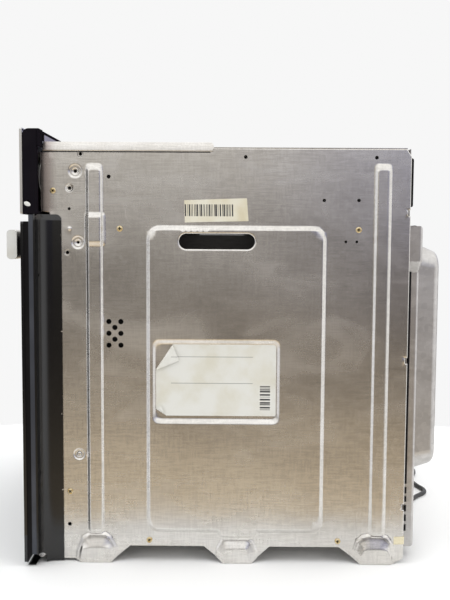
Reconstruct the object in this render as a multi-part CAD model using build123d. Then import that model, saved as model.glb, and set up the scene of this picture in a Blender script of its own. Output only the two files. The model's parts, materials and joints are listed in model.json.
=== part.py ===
"""Built-in wall oven out of its cabinet, in millimetres.

+X is the oven's right side, -Y its front, +Z up. The origin is under the middle of the oven, on the plane of
its feet. The mains cord lies behind it on that plane.
"""

import os
from math import cos, pi, sin, tan

from build123d import *

# Driving dimensions of the front and the casing
FRONT_HALF = 297.5
FRONT_TOP = 595.0
BODY_HALF = 274.0
BODY_TOP = 572.0
BODY_BOTTOM = 22.0
SHEET = 1.0
DOOR_FRONT = -271.0
FRAME_FRONT = -254.0
FLARE_REAR = -221.0
SIDE_FRONT = -237.5
SIDE_REAR = 251.5
BULGE_REAR = 303.5
HANDLE_FRONT = -303.5
FASCIA_BOTTOM = 481.5

# Pressed forms of the side sheet, as heights above it
RIB_HEIGHT = 4.0
RIB_WIDE_HEIGHT = 6.5
FIELD_HEIGHT = 5.0
POCKET_DEPTH = 3.0
FOOT_HEIGHT = 5.0

# Oven chamber
MOUTH_HALF = 222.0
MOUTH_BOTTOM = 80.0
MOUTH_TOP = 418.0
MOUTH_ROUND = 18.0
MUFFLE_FRONT = -246.0
MUFFLE_REAR = 170.0
MUFFLE_WALL = 1.2
FAN_Z = 249.0
ELEMENT_R = 3.2

# Door
GLASS = 4.0
GLASS_BOTTOM = 6.0
GLASS_TOP = 472.0
SPACER_REAR = -260.5
DOOR_REAR = -254.4
DOOR_INNER_BOTTOM = 17.5
DOOR_INNER_TOP = 481.0
HINGE_Y = -253.0
HINGE_Z = 8.0
HINGE_PIN_R = 2.5
HINGE_X = 263.5
RUNNING_GAP = 0.06

# Controls
KNOB_X = 170.0
KNOB_Z = 538.0
KNOB_R = 20.0
SPINDLE_R = 3.0
BUTTON_XS = (-28.0, 0.0, 28.0)
BUTTON_Z = 511.0
BUTTON_R = 5.0
STEM_R = 2.0
BRACKET_FRONT = -246.0
BRACKET_REAR = -245.0

# Mains cord and its put-away coil
CORD_R = 3.5
GLAND_X = 60.0
GLAND_Y = 288.0
GLAND_LOW = 104.0
COIL_X = -205.0
COIL_Y = 320.0
COIL_INNER = 28.0
COIL_PITCH = 9.2
COIL_RISE = 8.2
COIL_LAYER_TURNS = 1.75
COIL_TAIL = 43.0

COOLING_Y = 110.0
COOLING_Z = 514.0
COOLING_R = 28.0
COOLING_SHAFT_R = 3.0
FAN_SHAFT_R = 4.0


def span(x, y, z):
    """A box between low and high limits along each axis."""
    limits = (x, y, z)
    middle = [(low + high) / 2 for low, high in limits]
    size = [high - low for low, high in limits]
    return Pos(*middle) * Box(*size)


def both(low, high):
    """The same stretch on the two sides of the middle plane."""
    return ((low, high), (-high, -low))


def rod(start, end, radius):
    """A round bar between two points."""
    run = Vector(*end) - Vector(*start)
    return Solid.make_cylinder(radius, run.length, Plane(origin=start, z_dir=run))


def cross_rod(xs, yz, radius):
    """A round bar along X."""
    return rod((xs[0], *yz), (xs[1], *yz), radius)


def deep_rod(xz, ys, radius):
    """A round bar along Y."""
    return rod((xz[0], ys[0], xz[1]), (xz[0], ys[1], xz[1]), radius)


def mid(half):
    """A stretch centred on the middle plane."""
    return (-half, half)


def tube(path, radius):
    """A round bar along a path."""
    section = Plane(origin=path @ 0, z_dir=path % 0) * Circle(radius)
    return sweep(section, path=path)


def side_plane(x):
    """A sketch plane across X, drawn in Y and Z."""
    return Plane(origin=(x, 0, 0), x_dir=(0, 1, 0), z_dir=(1, 0, 0))


def rear_plane(y):
    """A sketch plane across Y, drawn in X and Z, that grows towards the front."""
    return Plane(origin=(0, y, 0), x_dir=(1, 0, 0), z_dir=(0, -1, 0))


def side_prism(points, x, corner=0.0):
    """A Y-Z outline stretched along X."""
    face = make_face(Polyline(*points, close=True))
    if corner:
        face = fillet(face.vertices(), corner)
    return extrude(side_plane(x[0]) * face, amount=x[1] - x[0])


def rounded(low, high, corner):
    """A rounded rectangle between two corners of a sketch plane."""
    middle = Pos((low[0] + high[0]) / 2, (low[1] + high[1]) / 2)
    return middle * RectangleRounded(high[0] - low[0], high[1] - low[1], corner)


def form(base, top, x, corners):
    """A pressed form on the side sheet: a loft between two rounded rectangles, each (y0, y1, z0, z1)."""
    sections = []
    for (y0, y1, z0, z1), level, corner in zip((base, top), x, corners):
        sections.append(side_plane(level) * rounded((y0, z0), (y1, z1), corner))
    return loft(sections, ruled=True)


def foot_form(base, top):
    """A pressed foot: a loft between two Y-Z outlines."""
    low = side_plane(BODY_HALF) * make_face(Polyline(*base, close=True))
    high = side_plane(BODY_HALF + FOOT_HEIGHT) * make_face(Polyline(*top, close=True))
    return loft([low, high], ruled=True)


def joined(solids):
    """One group of separate solids."""
    return Compound(children=list(solids))


def save(name, shape):
    export_step(shape, f"parts/{name}.step")


# Side sheets: places of the pressed forms, holes and screws as (Y, Z)
SIDE_OUTLINE = [
    (SIDE_FRONT, 3), (-206, 3), (-197, 0), (-155, 0), (-129, BODY_BOTTOM), (-26, BODY_BOTTOM), (0, 0),
    (41, 0), (65, BODY_BOTTOM), (162, BODY_BOTTOM), (191, 0), (231.5, 0), (246, 3), (SIDE_REAR, 8),
    (SIDE_REAR, 562), (245, BODY_TOP), (SIDE_FRONT, BODY_TOP),
]
FOOT_PADS = ((-196, -156), (1, 40), (192, 231))
FRONT_RIB = ((-186, -164.5, 36, 551.4), (-183, -167.5, 46, 538.7))
FRONT_RIB_WIDE = ((-189, -161.5, 436.8, 486.6), (-183.8, -166, 443.5, 476.5))
REAR_RIB = ((202.5, 225, 34, 552.7), (205.6, 221.7, 44, 542.7))
CENTRE_FIELD = ((-106.5, 139.5, 41, 468), (-100, 132.5, 48.5, 461.4))
FIELD_TAB = ((0, 39, 30, 60), (6, 33, 37, 60))
LABEL_POCKET = ((-98, 78, 195.6, 313.5), (-92, 72, 203.5, 305.7))
FRONT_FOOT = ([(-205, -2), (-193, 42), (-161, 42), (-143, 16), (-143, -2)],
              [(-199, -2), (-191, 20.6), (-166, 20.6), (-155, 8), (-155, -2)])
CENTRE_FOOT = ([(-10, -2), (2, 35.5), (38, 35.5), (50, -2)], [(-2, -2), (6, 20.7), (34, 20.7), (42, -2)])
REAR_FOOT = ([(180, -2), (192, 42), (227, 42), (242, -2)], [(188, -2), (196, 20.6), (223, 20.6), (234, -2)])
DIMPLES = (
    (-194.8, 563.2, 4.5, 1.8), (-201.9, 540.3, 10, 2.3), (-209.8, 517.6, 6, 2.3), (-198.8, 444.3, 9.5, 1.8),
    (-199.1, 151.8, 8.7, 2.2),
)
DIMPLE_DEPTH = 2.0
HOLES = (
    (-210.2, 489.7, 2.0), (-156.6, 533.1, 2.7), (-213.3, 430.5, 3.0), (-213.1, 52.8, 2.7), (28.2, 560.1, 2.5),
    (204.3, 560.1, 2.5), (134.6, 502.6, 2.4), (181.4, 502.9, 2.4), (164.5, 447, 1.8), (179.3, 447.1, 1.8),
)
VENTS = [(y, z) for y in (-157.2, -140.8) for z in (336.5, 320.3, 304.0)] + [(-149, 328.4), (-149, 312.2)]
VENT_R = 3.6
SIDE_SCREWS = ((-232.2, 513.9), (-141.9, 463.1), (-212, 99.2), (181.7, 463.1), (-102, 31), (160, 31))
SCREW_SHANK_R = 1.7
SCREW_HEAD_R = 4.0
SCREW_HEAD = 2.0
GRIP_SLOT = (-10.0, 446.5, 102.0, 20.0)
REAR_NOTCHES = (486, 285, 80)
TAB_FRONT = -248.5


def side_skin():
    """The solid whose outer face is the pressed side of the sheet."""
    depth = 6.0
    slab = span((BODY_HALF - depth, BODY_HALF), (SIDE_FRONT - 5, SIDE_REAR + 5), (-10, BODY_TOP + 5))
    forms = []
    for (base, top), height, corners in (
        (FRONT_RIB, RIB_HEIGHT, (8, 6)), (REAR_RIB, RIB_HEIGHT, (8, 6)),
        (CENTRE_FIELD, FIELD_HEIGHT, (19, 12.5)), (FIELD_TAB, FIELD_HEIGHT, (6, 4)),
        (FRONT_RIB_WIDE, RIB_WIDE_HEIGHT, (8, 6)),
    ):
        forms.append(form(base, top, (BODY_HALF, BODY_HALF + height), corners))
    forms += [foot_form(*foot) for foot in (FRONT_FOOT, CENTRE_FOOT, REAR_FOOT)]
    skin = slab
    for piece in forms:
        skin = skin + piece
    top_of_field = BODY_HALF + FIELD_HEIGHT
    base, floor = LABEL_POCKET
    pocket = form(base, floor, (top_of_field, top_of_field - POCKET_DEPTH), (10, 6))
    skin = skin - pocket
    for y, z, radius, hole in DIMPLES:
        inwards = Plane(origin=(BODY_HALF, y, z), z_dir=(-1, 0, 0))
        skin = skin - Solid.make_cone(radius, hole + 1, DIMPLE_DEPTH, inwards)
    outline = side_prism(SIDE_OUTLINE, (BODY_HALF - depth - 5, BODY_HALF + 15), 2.5)
    return skin & outline


def side_panel():
    """The right side sheet with its pressed forms, holes and feet, and the tab that meets the fascia."""
    skin = side_skin()
    panel = skin - Pos(-SHEET, 0, 0) * skin
    inner = BODY_HALF - SHEET
    for y, z, radius in HOLES + tuple((y, z, VENT_R) for y, z in VENTS):
        panel = panel - cross_rod((inner - 9, BODY_HALF + 9), (y, z), radius)
    for y, z, _, hole in DIMPLES:
        panel = panel - cross_rod((inner - 9, BODY_HALF + 9), (y, z), hole)
    for y, z in SIDE_SCREWS:
        panel = panel - cross_rod((inner - 9, BODY_HALF + 9), (y, z), SCREW_SHANK_R)
    y, z, long, high = GRIP_SLOT
    panel = panel - extrude(side_plane(inner - 9) * Pos(y, z) * SlotOverall(long, high), amount=30)
    for z in REAR_NOTCHES:
        panel = panel - span((inner - 20, BODY_HALF + 9), (SIDE_REAR - 3, SIDE_REAR + 1), (z - 4, z + 4))
    for y0, y1 in FOOT_PADS:
        panel = panel + span((BODY_HALF - 26, BODY_HALF + FOOT_HEIGHT - 1), (y0, y1), (0, 1.2))
    tab = span((inner, BODY_HALF), (TAB_FRONT, SIDE_FRONT + 1), (FASCIA_BOTTOM + 3, COVER_FOOT - 0.5))
    return panel + tab


# Front frame
FLARE_X = BODY_HALF + 1.4
FLARE_ROUND = 23.0
FLARE_START = -229.0
FRAME_HALF = 297.0
FRAME_TOP = 481.8
FRAME_FOOT = 1.5
FRAME_PLATE_FOOT = 14.5
FRAME_SHEET = 1.2
FIXING_X = 286.5
FIXING_ZS = (130.0, 400.0)
FIXING_R = 2.25
AIR_SLOT_ZS = (473.5, 478.5)
AIR_SLOT_XS = [-175 + 50 * index for index in range(8)]
AIR_SLOT_HALF = 20.0
HINGE_CLEARANCE = 9.0


def air_slots(y):
    """The row of slots through which the cooling air leaves above the door glass."""
    slots = [span((x - AIR_SLOT_HALF, x + AIR_SLOT_HALF), y, AIR_SLOT_ZS) for x in AIR_SLOT_XS]
    return slots


def front_frame():
    """The black frame: front plate with the mouth, its collar, and the flared sides."""
    plate_y = (FRAME_FRONT, FRAME_FRONT + FRAME_SHEET)
    frame = span(mid(FRAME_HALF), plate_y, (FRAME_PLATE_FOOT, FRAME_TOP))
    mouth = rounded((-MOUTH_HALF, MOUTH_BOTTOM), (MOUTH_HALF, MOUTH_TOP), MOUTH_ROUND)
    grow = FRAME_SHEET
    outer = rounded((-MOUTH_HALF - grow, MOUTH_BOTTOM - grow), (MOUTH_HALF + grow, MOUTH_TOP + grow),
                    MOUTH_ROUND + grow)
    frame = frame + extrude(rear_plane(MUFFLE_FRONT) * outer, amount=MUFFLE_FRONT - FRAME_FRONT)
    frame = frame - extrude(rear_plane(MUFFLE_FRONT) * mouth, amount=MUFFLE_FRONT - FRAME_FRONT)
    inside = BODY_HALF - SHEET - 0.2
    frame = frame + span(mid(inside), (FRAME_FRONT, SIDE_FRONT + 5), (FRAME_TOP - 1, FRAME_TOP))
    flare = extrude(Pos(0, 0, FRAME_FOOT) * flare_profile(), amount=FRAME_TOP - FRAME_FOOT)
    rear_part = [(-260, -5), (FLARE_REAR, -5), (FLARE_REAR, FRAME_TOP), (-260, FRAME_TOP)]
    corner = side_prism(rear_part, (200, 310), 7)
    flare = flare & (corner + span((200, 310), (-260, -240), (-5, FRAME_TOP)))
    frame = frame + flare + mirror(flare, about=Plane.YZ)
    for slot in air_slots((FRAME_FRONT - 1, FRAME_FRONT + 5)):
        frame = frame - slot
    for x in mid(FIXING_X):
        for z in FIXING_ZS:
            frame = frame - deep_rod((x, z), (FRAME_FRONT - 1, FRAME_FRONT + 5), FIXING_R)
    frame = frame - cross_rod((-310, 310), (HINGE_Y, HINGE_Z), HINGE_CLEARANCE)
    return frame - span((-310, 310), (FRAME_FRONT - 5, HINGE_Y + HINGE_CLEARANCE), (-5, HINGE_Z))


def flare_profile():
    """One flared side seen from above: a straight rear edge that runs into a quarter round."""
    turn = (FRAME_HALF - FLARE_X) / FLARE_ROUND
    rise = FLARE_ROUND * (1 - (1 - turn) ** 2) ** 0.5
    centre = (FLARE_X + FLARE_ROUND, FLARE_START)
    ring = Pos(*centre) * (Circle(FLARE_ROUND + SHEET) - Circle(FLARE_ROUND))
    keep = Pos((FLARE_X - 5 + FRAME_HALF) / 2, FLARE_START - 20) * Rectangle(FRAME_HALF - FLARE_X + 5, 40)
    straight = Pos(FLARE_X - SHEET / 2, (FLARE_START + FLARE_REAR) / 2)
    straight = straight * Rectangle(SHEET, FLARE_REAR - FLARE_START)
    rim_rear = FLARE_START - rise
    rim = Pos(FRAME_HALF - 0.75, (FRAME_FRONT + rim_rear) / 2) * Rectangle(1.5, rim_rear - FRAME_FRONT)
    return (ring & keep) + straight + rim


def door_gasket():
    """A silicone bead round the mouth, inside its collar."""
    bead = 2.8
    inset = bead + 0.2
    centre_y = FRAME_FRONT + bead
    loop = rounded((-MOUTH_HALF + inset, MOUTH_BOTTOM + inset), (MOUTH_HALF - inset, MOUTH_TOP - inset),
                   MOUTH_ROUND - inset)
    path = (rear_plane(centre_y) * loop).wire()
    return sweep(Plane(origin=path @ 0, z_dir=path % 0) * Circle(bead), path=path)


# Casing covers
COVER_TOP = 580.0
COVER_FOOT = 567.0
COVER_FRONT = -245.0
COVER_REAR = -15.0
COVER_SKIN = BODY_HALF + 1.4
COVER_BEND = 5.0
COVER_LEAN = 5.0
COVER_SEAT = BODY_TOP + 1
COVER_KNEE = 574.0
COVER_SEAM = 0.2
COVER_BOSSES = ((-170, -60), (-40, -22))


def cover_block(inset, front, foot):
    """A block whose sides lean in above a knee, its top edges rounded, all but the front one."""
    half, rear, top = COVER_SKIN - inset, COVER_REAR - inset, COVER_TOP - inset
    right = [(half, foot), (half, COVER_KNEE), (half - COVER_LEAN, top)]
    left = [(-x, z) for x, z in reversed(right)]
    block = extrude(rear_plane(rear) * make_face(Polyline(*right, *left, close=True)), amount=rear - front)
    rim = block.edges().group_by(Axis.Z)[-1]
    return fillet(rim.filter_by(Axis.Y) + rim.filter_by(Axis.X).group_by(Axis.Y)[-1], COVER_BEND - inset)


def top_cover_front():
    """The raised front cover, with leaning sides, an upturned front edge, two pads and a strip under each side."""
    inner = COVER_SKIN - SHEET
    cover = cover_block(0, COVER_FRONT, COVER_SEAT) - cover_block(SHEET, COVER_FRONT - 1, COVER_SEAT)
    upturn = (COVER_FRONT, COVER_FRONT + SHEET)
    cover = cover + span(mid(BODY_HALF - COVER_LEAN), upturn, (COVER_TOP - SHEET, COVER_TOP + 8.6))
    rear_gap = (COVER_SEAT - 1, COVER_SEAT + COVER_SEAM)
    cover = cover - span(mid(inner), (COVER_REAR - 3, COVER_REAR + 1), rear_gap)
    for y in COVER_BOSSES:
        cover = cover + span((-200, 200), y, (COVER_TOP, COVER_TOP + 1.6))
    strip = (COVER_FOOT, COVER_SEAT - COVER_SEAM)
    strips = [span(x, (COVER_FRONT, COVER_REAR), strip) for x in both(BODY_HALF, COVER_SKIN)]
    return joined([cover, *strips])


def top_cover_rear():
    """The thin rear cover that lies on the side sheets, with louvres over the fan."""
    cover = span(mid(BODY_HALF), (COVER_REAR - 40, SIDE_REAR - 6), (BODY_TOP, BODY_TOP + SHEET))
    for x in range(-120, 121, 30):
        cover = cover - span((x - 4, x + 4), (70, 150), (BODY_TOP - 1, BODY_TOP + 2))
    return cover


def base_plate():
    """The bottom tray between the side sheets, with vent slots."""
    half = BODY_HALF - SHEET - 0.2
    low = BODY_BOTTOM + 0.5
    ys = (SIDE_FRONT + 2, SIDE_REAR - 3)
    tray = span(mid(half), ys, (low, low + 13))
    tray = tray - span(mid(half - 1), (ys[0] + 1, ys[1] - 1), (low + 1, low + 15))
    for x in range(-200, 201, 50):
        tray = tray - span((x - 4, x + 4), (-120, -40), (low - 1, low + 2))
        tray = tray - span((x - 4, x + 4), (60, 140), (low - 1, low + 2))
    for y, z in SIDE_SCREWS[-2:]:
        tray = tray - cross_rod((-300, 300), (y, z), SCREW_SHANK_R)
    return tray


REAR_PANEL_FRONT = SIDE_REAR - 2.0
REAR_PANEL_REAR = SIDE_REAR - 1.0


def rear_panel():
    """The inner rear wall, with the fan motor's opening and two air openings."""
    half = BODY_HALF - SHEET - 0.2
    panel = span(mid(half), (REAR_PANEL_FRONT, REAR_PANEL_REAR), (BODY_BOTTOM + 14, BODY_TOP - 0.2))
    panel = panel - deep_rod((0, FAN_Z), (240, 260), 60)
    for x in (-120, 120):
        panel = panel - span((x - 60, x + 60), (240, 260), (508, 546))
    return panel


AIR_BAFFLE_ZS = (494.5, 560.0)
AIR_BAFFLE_HALF = 268.0


def rear_air_baffle():
    """The black slotted cover over the rear air openings."""
    ys = (REAR_PANEL_REAR, REAR_PANEL_REAR + 5)
    baffle = span(mid(AIR_BAFFLE_HALF), ys, AIR_BAFFLE_ZS)
    baffle = fillet(baffle.edges().filter_by(Axis.X).group_by(Axis.Y)[-1], 2.5)
    low, high = AIR_BAFFLE_ZS
    half = AIR_BAFFLE_HALF - SHEET
    baffle = baffle - span(mid(half), (ys[0] - 1, ys[1] - SHEET), (low + SHEET, high - SHEET))
    for x in range(-180, 181, 15):
        baffle = baffle - span((x - 4, x + 4), (ys[1] - 3, ys[1] + 1), (low + 14, high - 14))
    return baffle


# Back cover
BACK_HALF = 248.0
BACK_WIDE_HALF = 266.0
BACK_FOOT = 15.0
BACK_STEP = (405.0, 421.0)
BACK_TOP = 469.0
BACK_REAR = 271.0
BULGE_BASE = (238.0, 118.0, 446.0)
BULGE_TOP = (230.0, 128.0, 432.0)
BULGE_ROUND = 11.0
BACK_TABS = (60.0, 230.0, 370.0)
BACK_TAB_REACH = 264.0


def back_form(inset):
    """The back cover as a solid, drawn in by an inset on every side but its open front."""
    half, wide = BACK_HALF - inset, BACK_WIDE_HALF - inset
    low, top = BACK_FOOT + inset, BACK_TOP - inset
    step_low, step_high = BACK_STEP
    right = [(half, low), (half, step_low), (wide, step_high), (wide, top)]
    left = [(-x, z) for x, z in reversed(right)]
    rear = BACK_REAR - inset
    face = make_face(Polyline(*right, *left, close=True))
    pan = extrude(rear_plane(rear) * face, amount=rear - REAR_PANEL_REAR)
    pan = fillet(pan.edges().filter_by(lambda e: e.center().Y > rear - 0.01), 5 - inset)
    sections = []
    for (half, low, high), y, corner in ((BULGE_BASE, rear - 1, 30), (BULGE_TOP, BULGE_REAR - inset, 24)):
        shape = rounded((-half + inset, low + inset), (half - inset, high - inset), corner - inset)
        sections.append(rear_plane(y) * shape)
    bulge = loft(sections, ruled=True)
    bulge = fillet(bulge.faces().sort_by(Axis.Y)[-1].edges(), BULGE_ROUND - inset)
    return pan + bulge


def back_cover():
    """The galvanised back cover with its fan bulge, louvres, screw tabs and cord hole."""
    cover = back_form(0) - back_form(SHEET)
    ys = (REAR_PANEL_REAR, REAR_PANEL_REAR + SHEET)
    for z in BACK_TABS:
        for xs in both(BACK_HALF - 0.5, BACK_TAB_REACH):
            cover = cover + span(xs, ys, (z - 12, z + 12))
        for x in mid(BACK_TAB_REACH - 6):
            cover = cover - deep_rod((x, z), (ys[0] - 1, ys[1] + 1), SCREW_SHANK_R)
    cover = cover - span((-240, 240), (ys[1] + 4, BACK_REAR - 7), (BACK_TOP - 3, BACK_TOP + 3))
    for row in range(5):
        z = 190 + 30 * row
        for x in (-100, 100):
            cover = cover - span((x - 50, x + 50), (BULGE_REAR - 4, BULGE_REAR + 4), (z - 3, z + 3))
    return cover - rod((GLAND_X, GLAND_Y, 100), (GLAND_X, GLAND_Y, 140), 8)


# Oven chamber
BULB_X = -185.0
BULB_Z = 372.0
PROBE_Z = 390.0


def muffle_section(grow):
    """The chamber's cross-section, grown outwards."""
    return rounded((-MOUTH_HALF - grow, MOUTH_BOTTOM - grow), (MOUTH_HALF + grow, MOUTH_TOP + grow),
                   MOUTH_ROUND + grow)


def cavity_muffle():
    """The enamelled chamber, open at the front, with the openings in its rear wall."""
    long = MUFFLE_REAR - MUFFLE_FRONT
    muffle = extrude(rear_plane(MUFFLE_REAR) * muffle_section(MUFFLE_WALL), amount=long)
    muffle = muffle - extrude(rear_plane(MUFFLE_REAR - MUFFLE_WALL) * muffle_section(0), amount=long)
    holes = [(0, FAN_Z, FAN_SHAFT_R + 3), (BULB_X, BULB_Z, 20), (60, PROBE_Z, 3)]
    holes += [(x, GRILL_Z, ELEMENT_R) for x in (-30, 30)]
    holes += [(x, RING_FOOT_Z, ELEMENT_R) for x in RING_LEG_XS]
    for x, z, radius in holes:
        muffle = muffle - deep_rod((x, z), (MUFFLE_REAR - 5, MUFFLE_REAR + 5), radius)
    return muffle


def cavity_insulation():
    """The mineral wool jacket round the chamber, relieved for what passes through it."""
    wool = span((-248, 248), (MUFFLE_FRONT + 4, 196), (52, DUCT_ZS[0] - 0.5))
    wool = wool - extrude(rear_plane(MUFFLE_REAR + 0.3) * muffle_section(MUFFLE_WALL + 0.3), amount=500)
    wool = wool - span((-195, 195), (-185, 200), (64, 90))
    wool = wool - deep_rod((0, FAN_Z), (165, 205), 62)
    wool = wool - deep_rod((BULB_X, BULB_Z), (165, 205), 26)
    wool = wool - span((-75, 75), (165, 205), (PROBE_Z - 12, GRILL_Z + 12))
    return wool - span((-40, 40), (165, 205), (RING_FOOT_Z - 12, RING_FOOT_Z + 40))


GRILL_Z = 404.0
BASE_Z = 73.0
RING_R = 95.0
RING_Y = 150.0
RING_LEG_XS = (-20.0, 20.0)
RING_FOOT_Z = FAN_Z - (RING_R**2 - RING_LEG_XS[1]**2) ** 0.5


def grill_element():
    """The roof element: one bent rod with both ends through the rear wall."""
    half = [(30, 195), (30, 100), (180, 100), (180, -190), (90, -190), (90, 40)]
    points = [(-x, y, GRILL_Z) for x, y in half] + [(x, y, GRILL_Z) for x, y in reversed(half)]
    return tube(FilletPolyline(*points, radius=18), ELEMENT_R)


def base_element():
    """The floor element, under the chamber."""
    half = [(30, 192), (30, 120), (170, 120), (170, -160), (85, -160), (85, 60)]
    points = [(-x, y, BASE_Z) for x, y in half] + [(x, y, BASE_Z) for x, y in reversed(half)]
    return tube(FilletPolyline(*points, radius=18), ELEMENT_R)


def ring_element():
    """The ring element round the fan, with its two legs through the rear wall."""
    ring = Pos(0, RING_Y, FAN_Z) * Rot(90, 0, 0) * Torus(RING_R, ELEMENT_R)
    gap = RING_LEG_XS[1]
    ring = ring - span((-gap, gap), (RING_Y - 10, RING_Y + 10), (RING_FOOT_Z - 30, RING_FOOT_Z + 30))
    for x in RING_LEG_XS:
        ring = ring + deep_rod((x, RING_FOOT_Z), (RING_Y, 195), ELEMENT_R)
        ring = ring + Pos(x, RING_Y, RING_FOOT_Z) * Sphere(ELEMENT_R)
    return ring


BAFFLE_HALF = 150.0
BAFFLE_ZS = (118.0, 378.0)
BAFFLE_FRONT = 126.0


def fan_baffle():
    """The pan in front of the fan, with its intake grille and side outlets."""
    rear = MUFFLE_REAR - MUFFLE_WALL
    low, high = BAFFLE_ZS
    outside = rounded((-BAFFLE_HALF, low), (BAFFLE_HALF, high), 20)
    pan = extrude(rear_plane(rear) * outside, amount=rear - BAFFLE_FRONT)
    hollow = rounded((-BAFFLE_HALF + 1, low + 1), (BAFFLE_HALF - 1, high - 1), 19)
    pan = pan - extrude(rear_plane(rear) * hollow, amount=rear - BAFFLE_FRONT - 1)
    for step in range(-4, 5):
        reach = (60**2 - (step * 12) ** 2) ** 0.5
        z = FAN_Z + step * 12
        pan = pan - span((-reach, reach), (BAFFLE_FRONT - 1, BAFFLE_FRONT + 2), (z - 3, z + 3))
    for z in range(160, 341, 30):
        pan = pan - span(mid(BAFFLE_HALF + 1), (138, 158), (z - 6, z + 6))
    return pan


FAN_R = 70.0
FAN_BLADES = 12
MOTOR_YS = (206.0, 258.0)


def convection_fan():
    """The fan wheel with its shaft."""
    wheel = deep_rod((0, FAN_Z), (158, 160), FAN_R) + deep_rod((0, FAN_Z), (140, 160), 12)
    blade = span((FAN_R - 26, FAN_R), (138, 158.5), (-0.8, 0.8))
    for index in range(FAN_BLADES):
        turn = Pos(0, 0, FAN_Z) * Rot(0, 360 / FAN_BLADES * index, 0)
        wheel = wheel + turn * blade
    return wheel + deep_rod((0, FAN_Z), (150, 250), FAN_SHAFT_R)


def fan_motor():
    """The shaded-pole motor behind the chamber, on a bridge fixed to the rear wall's edge."""
    low, high = MOTOR_YS
    motor = span((-40, 40), (low + 8, high - 12), (FAN_Z - 40, FAN_Z + 40))
    motor = motor + deep_rod((0, FAN_Z), (low, high), 16)
    bridge = span((-100, 100), (REAR_PANEL_FRONT - 4, REAR_PANEL_FRONT - 0.2), (FAN_Z - 12, FAN_Z + 12))
    motor = motor + bridge
    return motor - deep_rod((0, FAN_Z), (low - 1, high - 4), FAN_SHAFT_R + RUNNING_GAP)


def lamp_holder():
    """The lamp cup behind the rear wall, with its socket."""
    cup = deep_rod((BULB_X, BULB_Z), (MUFFLE_REAR, 214), 24)
    cup = cup - deep_rod((BULB_X, BULB_Z), (MUFFLE_REAR - 1, 200), 21)
    return cup


def lamp_bulb():
    """The small lamp with its screw cap."""
    bulb = Pos(BULB_X, 178, BULB_Z) * Sphere(10)
    return bulb + deep_rod((BULB_X, BULB_Z), (178, 200), 7)


def lamp_glass():
    """The dished cover glass inside the chamber."""
    rear = MUFFLE_REAR - MUFFLE_WALL
    glass = deep_rod((BULB_X, BULB_Z), (rear - 14, rear), 25)
    glass = fillet(glass.edges().group_by(Axis.Y)[0], 9)
    hollow = deep_rod((BULB_X, BULB_Z), (rear - 11, rear + 1), 22)
    hollow = fillet(hollow.edges().group_by(Axis.Y)[0], 7)
    return glass - hollow


def thermostat_probe():
    """The sensing phial in the chamber with the start of its capillary."""
    phial = cross_rod((-90, 10), (158, PROBE_Z), 3)
    path = FilletPolyline((10, 158, PROBE_Z), (60, 158, PROBE_Z), (60, 196, PROBE_Z), radius=12)
    return phial + tube(path, 1.2)


def shelf_rails():
    """The two wire racks at the sides of the chamber."""
    wire = 2.5
    racks = []
    for side in (-1, 1):
        x = side * (MOUTH_HALF - 6)
        rack = rod((x, -212, 92), (x, -212, 402), wire) + rod((x, 96, 92), (x, 96, 402), wire)
        for z in range(125, 381, 51):
            for level in (z, z + 16):
                rack = rack + deep_rod((x, level), (-228, 112), wire)
        racks.append(rack)
    return joined(racks)


# Door pieces
MITRE_TOP = (-260.4, 17.4)
MITRE_FOOT = (-267.0, 5.2)
PANE_HALF = 232.0
PANE_ZS = (70.0, 428.0)
PANE_FRONT = -258.4
HANDLE_HALF = 245.0
HANDLE_ZS = (420.0, 461.0)
HANDLE_DEPTH = 14.0
MOUNT_XS = (206.0, 238.0)
MOUNT_ZS = (424.0, 453.0)


def door_glass_outer():
    """The front pane."""
    pane = span(mid(FRONT_HALF), (DOOR_FRONT, DOOR_FRONT + GLASS), (GLASS_BOTTOM, GLASS_TOP))
    return fillet(pane.edges().filter_by(Axis.Y), 3)


def door_spacer_frame():
    """The black frame between the panes, mitred along its foot."""
    ys = (DOOR_FRONT + GLASS, SPACER_REAR)
    half = FRONT_HALF - 1
    frame = span(mid(half), ys, (GLASS_BOTTOM - 0.8, GLASS_TOP))
    frame = frame - span(mid(half - 60), (ys[0] - 1, ys[1] + 1), (60, 430))
    behind = MITRE_TOP[0] + 2
    wedge = [MITRE_TOP, (behind, MITRE_TOP[1]), (behind, -5), (MITRE_FOOT[0], -5), MITRE_FOOT]
    return frame - side_prism(wedge, (-310, 310))


def door_inner_frame():
    """The dark inner frame, rebated for the inner pane and slotted for the cooling air."""
    half = FRONT_HALF - 1
    frame = span(mid(half), (SPACER_REAR, DOOR_REAR), (DOOR_INNER_BOTTOM, DOOR_INNER_TOP))
    low, high = PANE_ZS
    frame = frame - span(mid(PANE_HALF + 0.2), (PANE_FRONT, DOOR_REAR + 1), (low - 0.2, high + 0.2))
    frame = frame - span(mid(PANE_HALF - 14), (SPACER_REAR - 1, DOOR_REAR + 1), (low + 14, high - 14))
    for slot in air_slots((SPACER_REAR - 1, DOOR_REAR + 1)):
        frame = frame - slot
    for x0, x1 in both(HINGE_X - 2.5, HINGE_X + 2.5):
        frame = frame - span((x0, x1), (-257, DOOR_REAR + 1), (DOOR_INNER_BOTTOM - 1, 70.5))
    return frame


def door_glass_inner():
    """The inner pane that closes the mouth."""
    return span(mid(PANE_HALF), (PANE_FRONT, DOOR_REAR), PANE_ZS)


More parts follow.
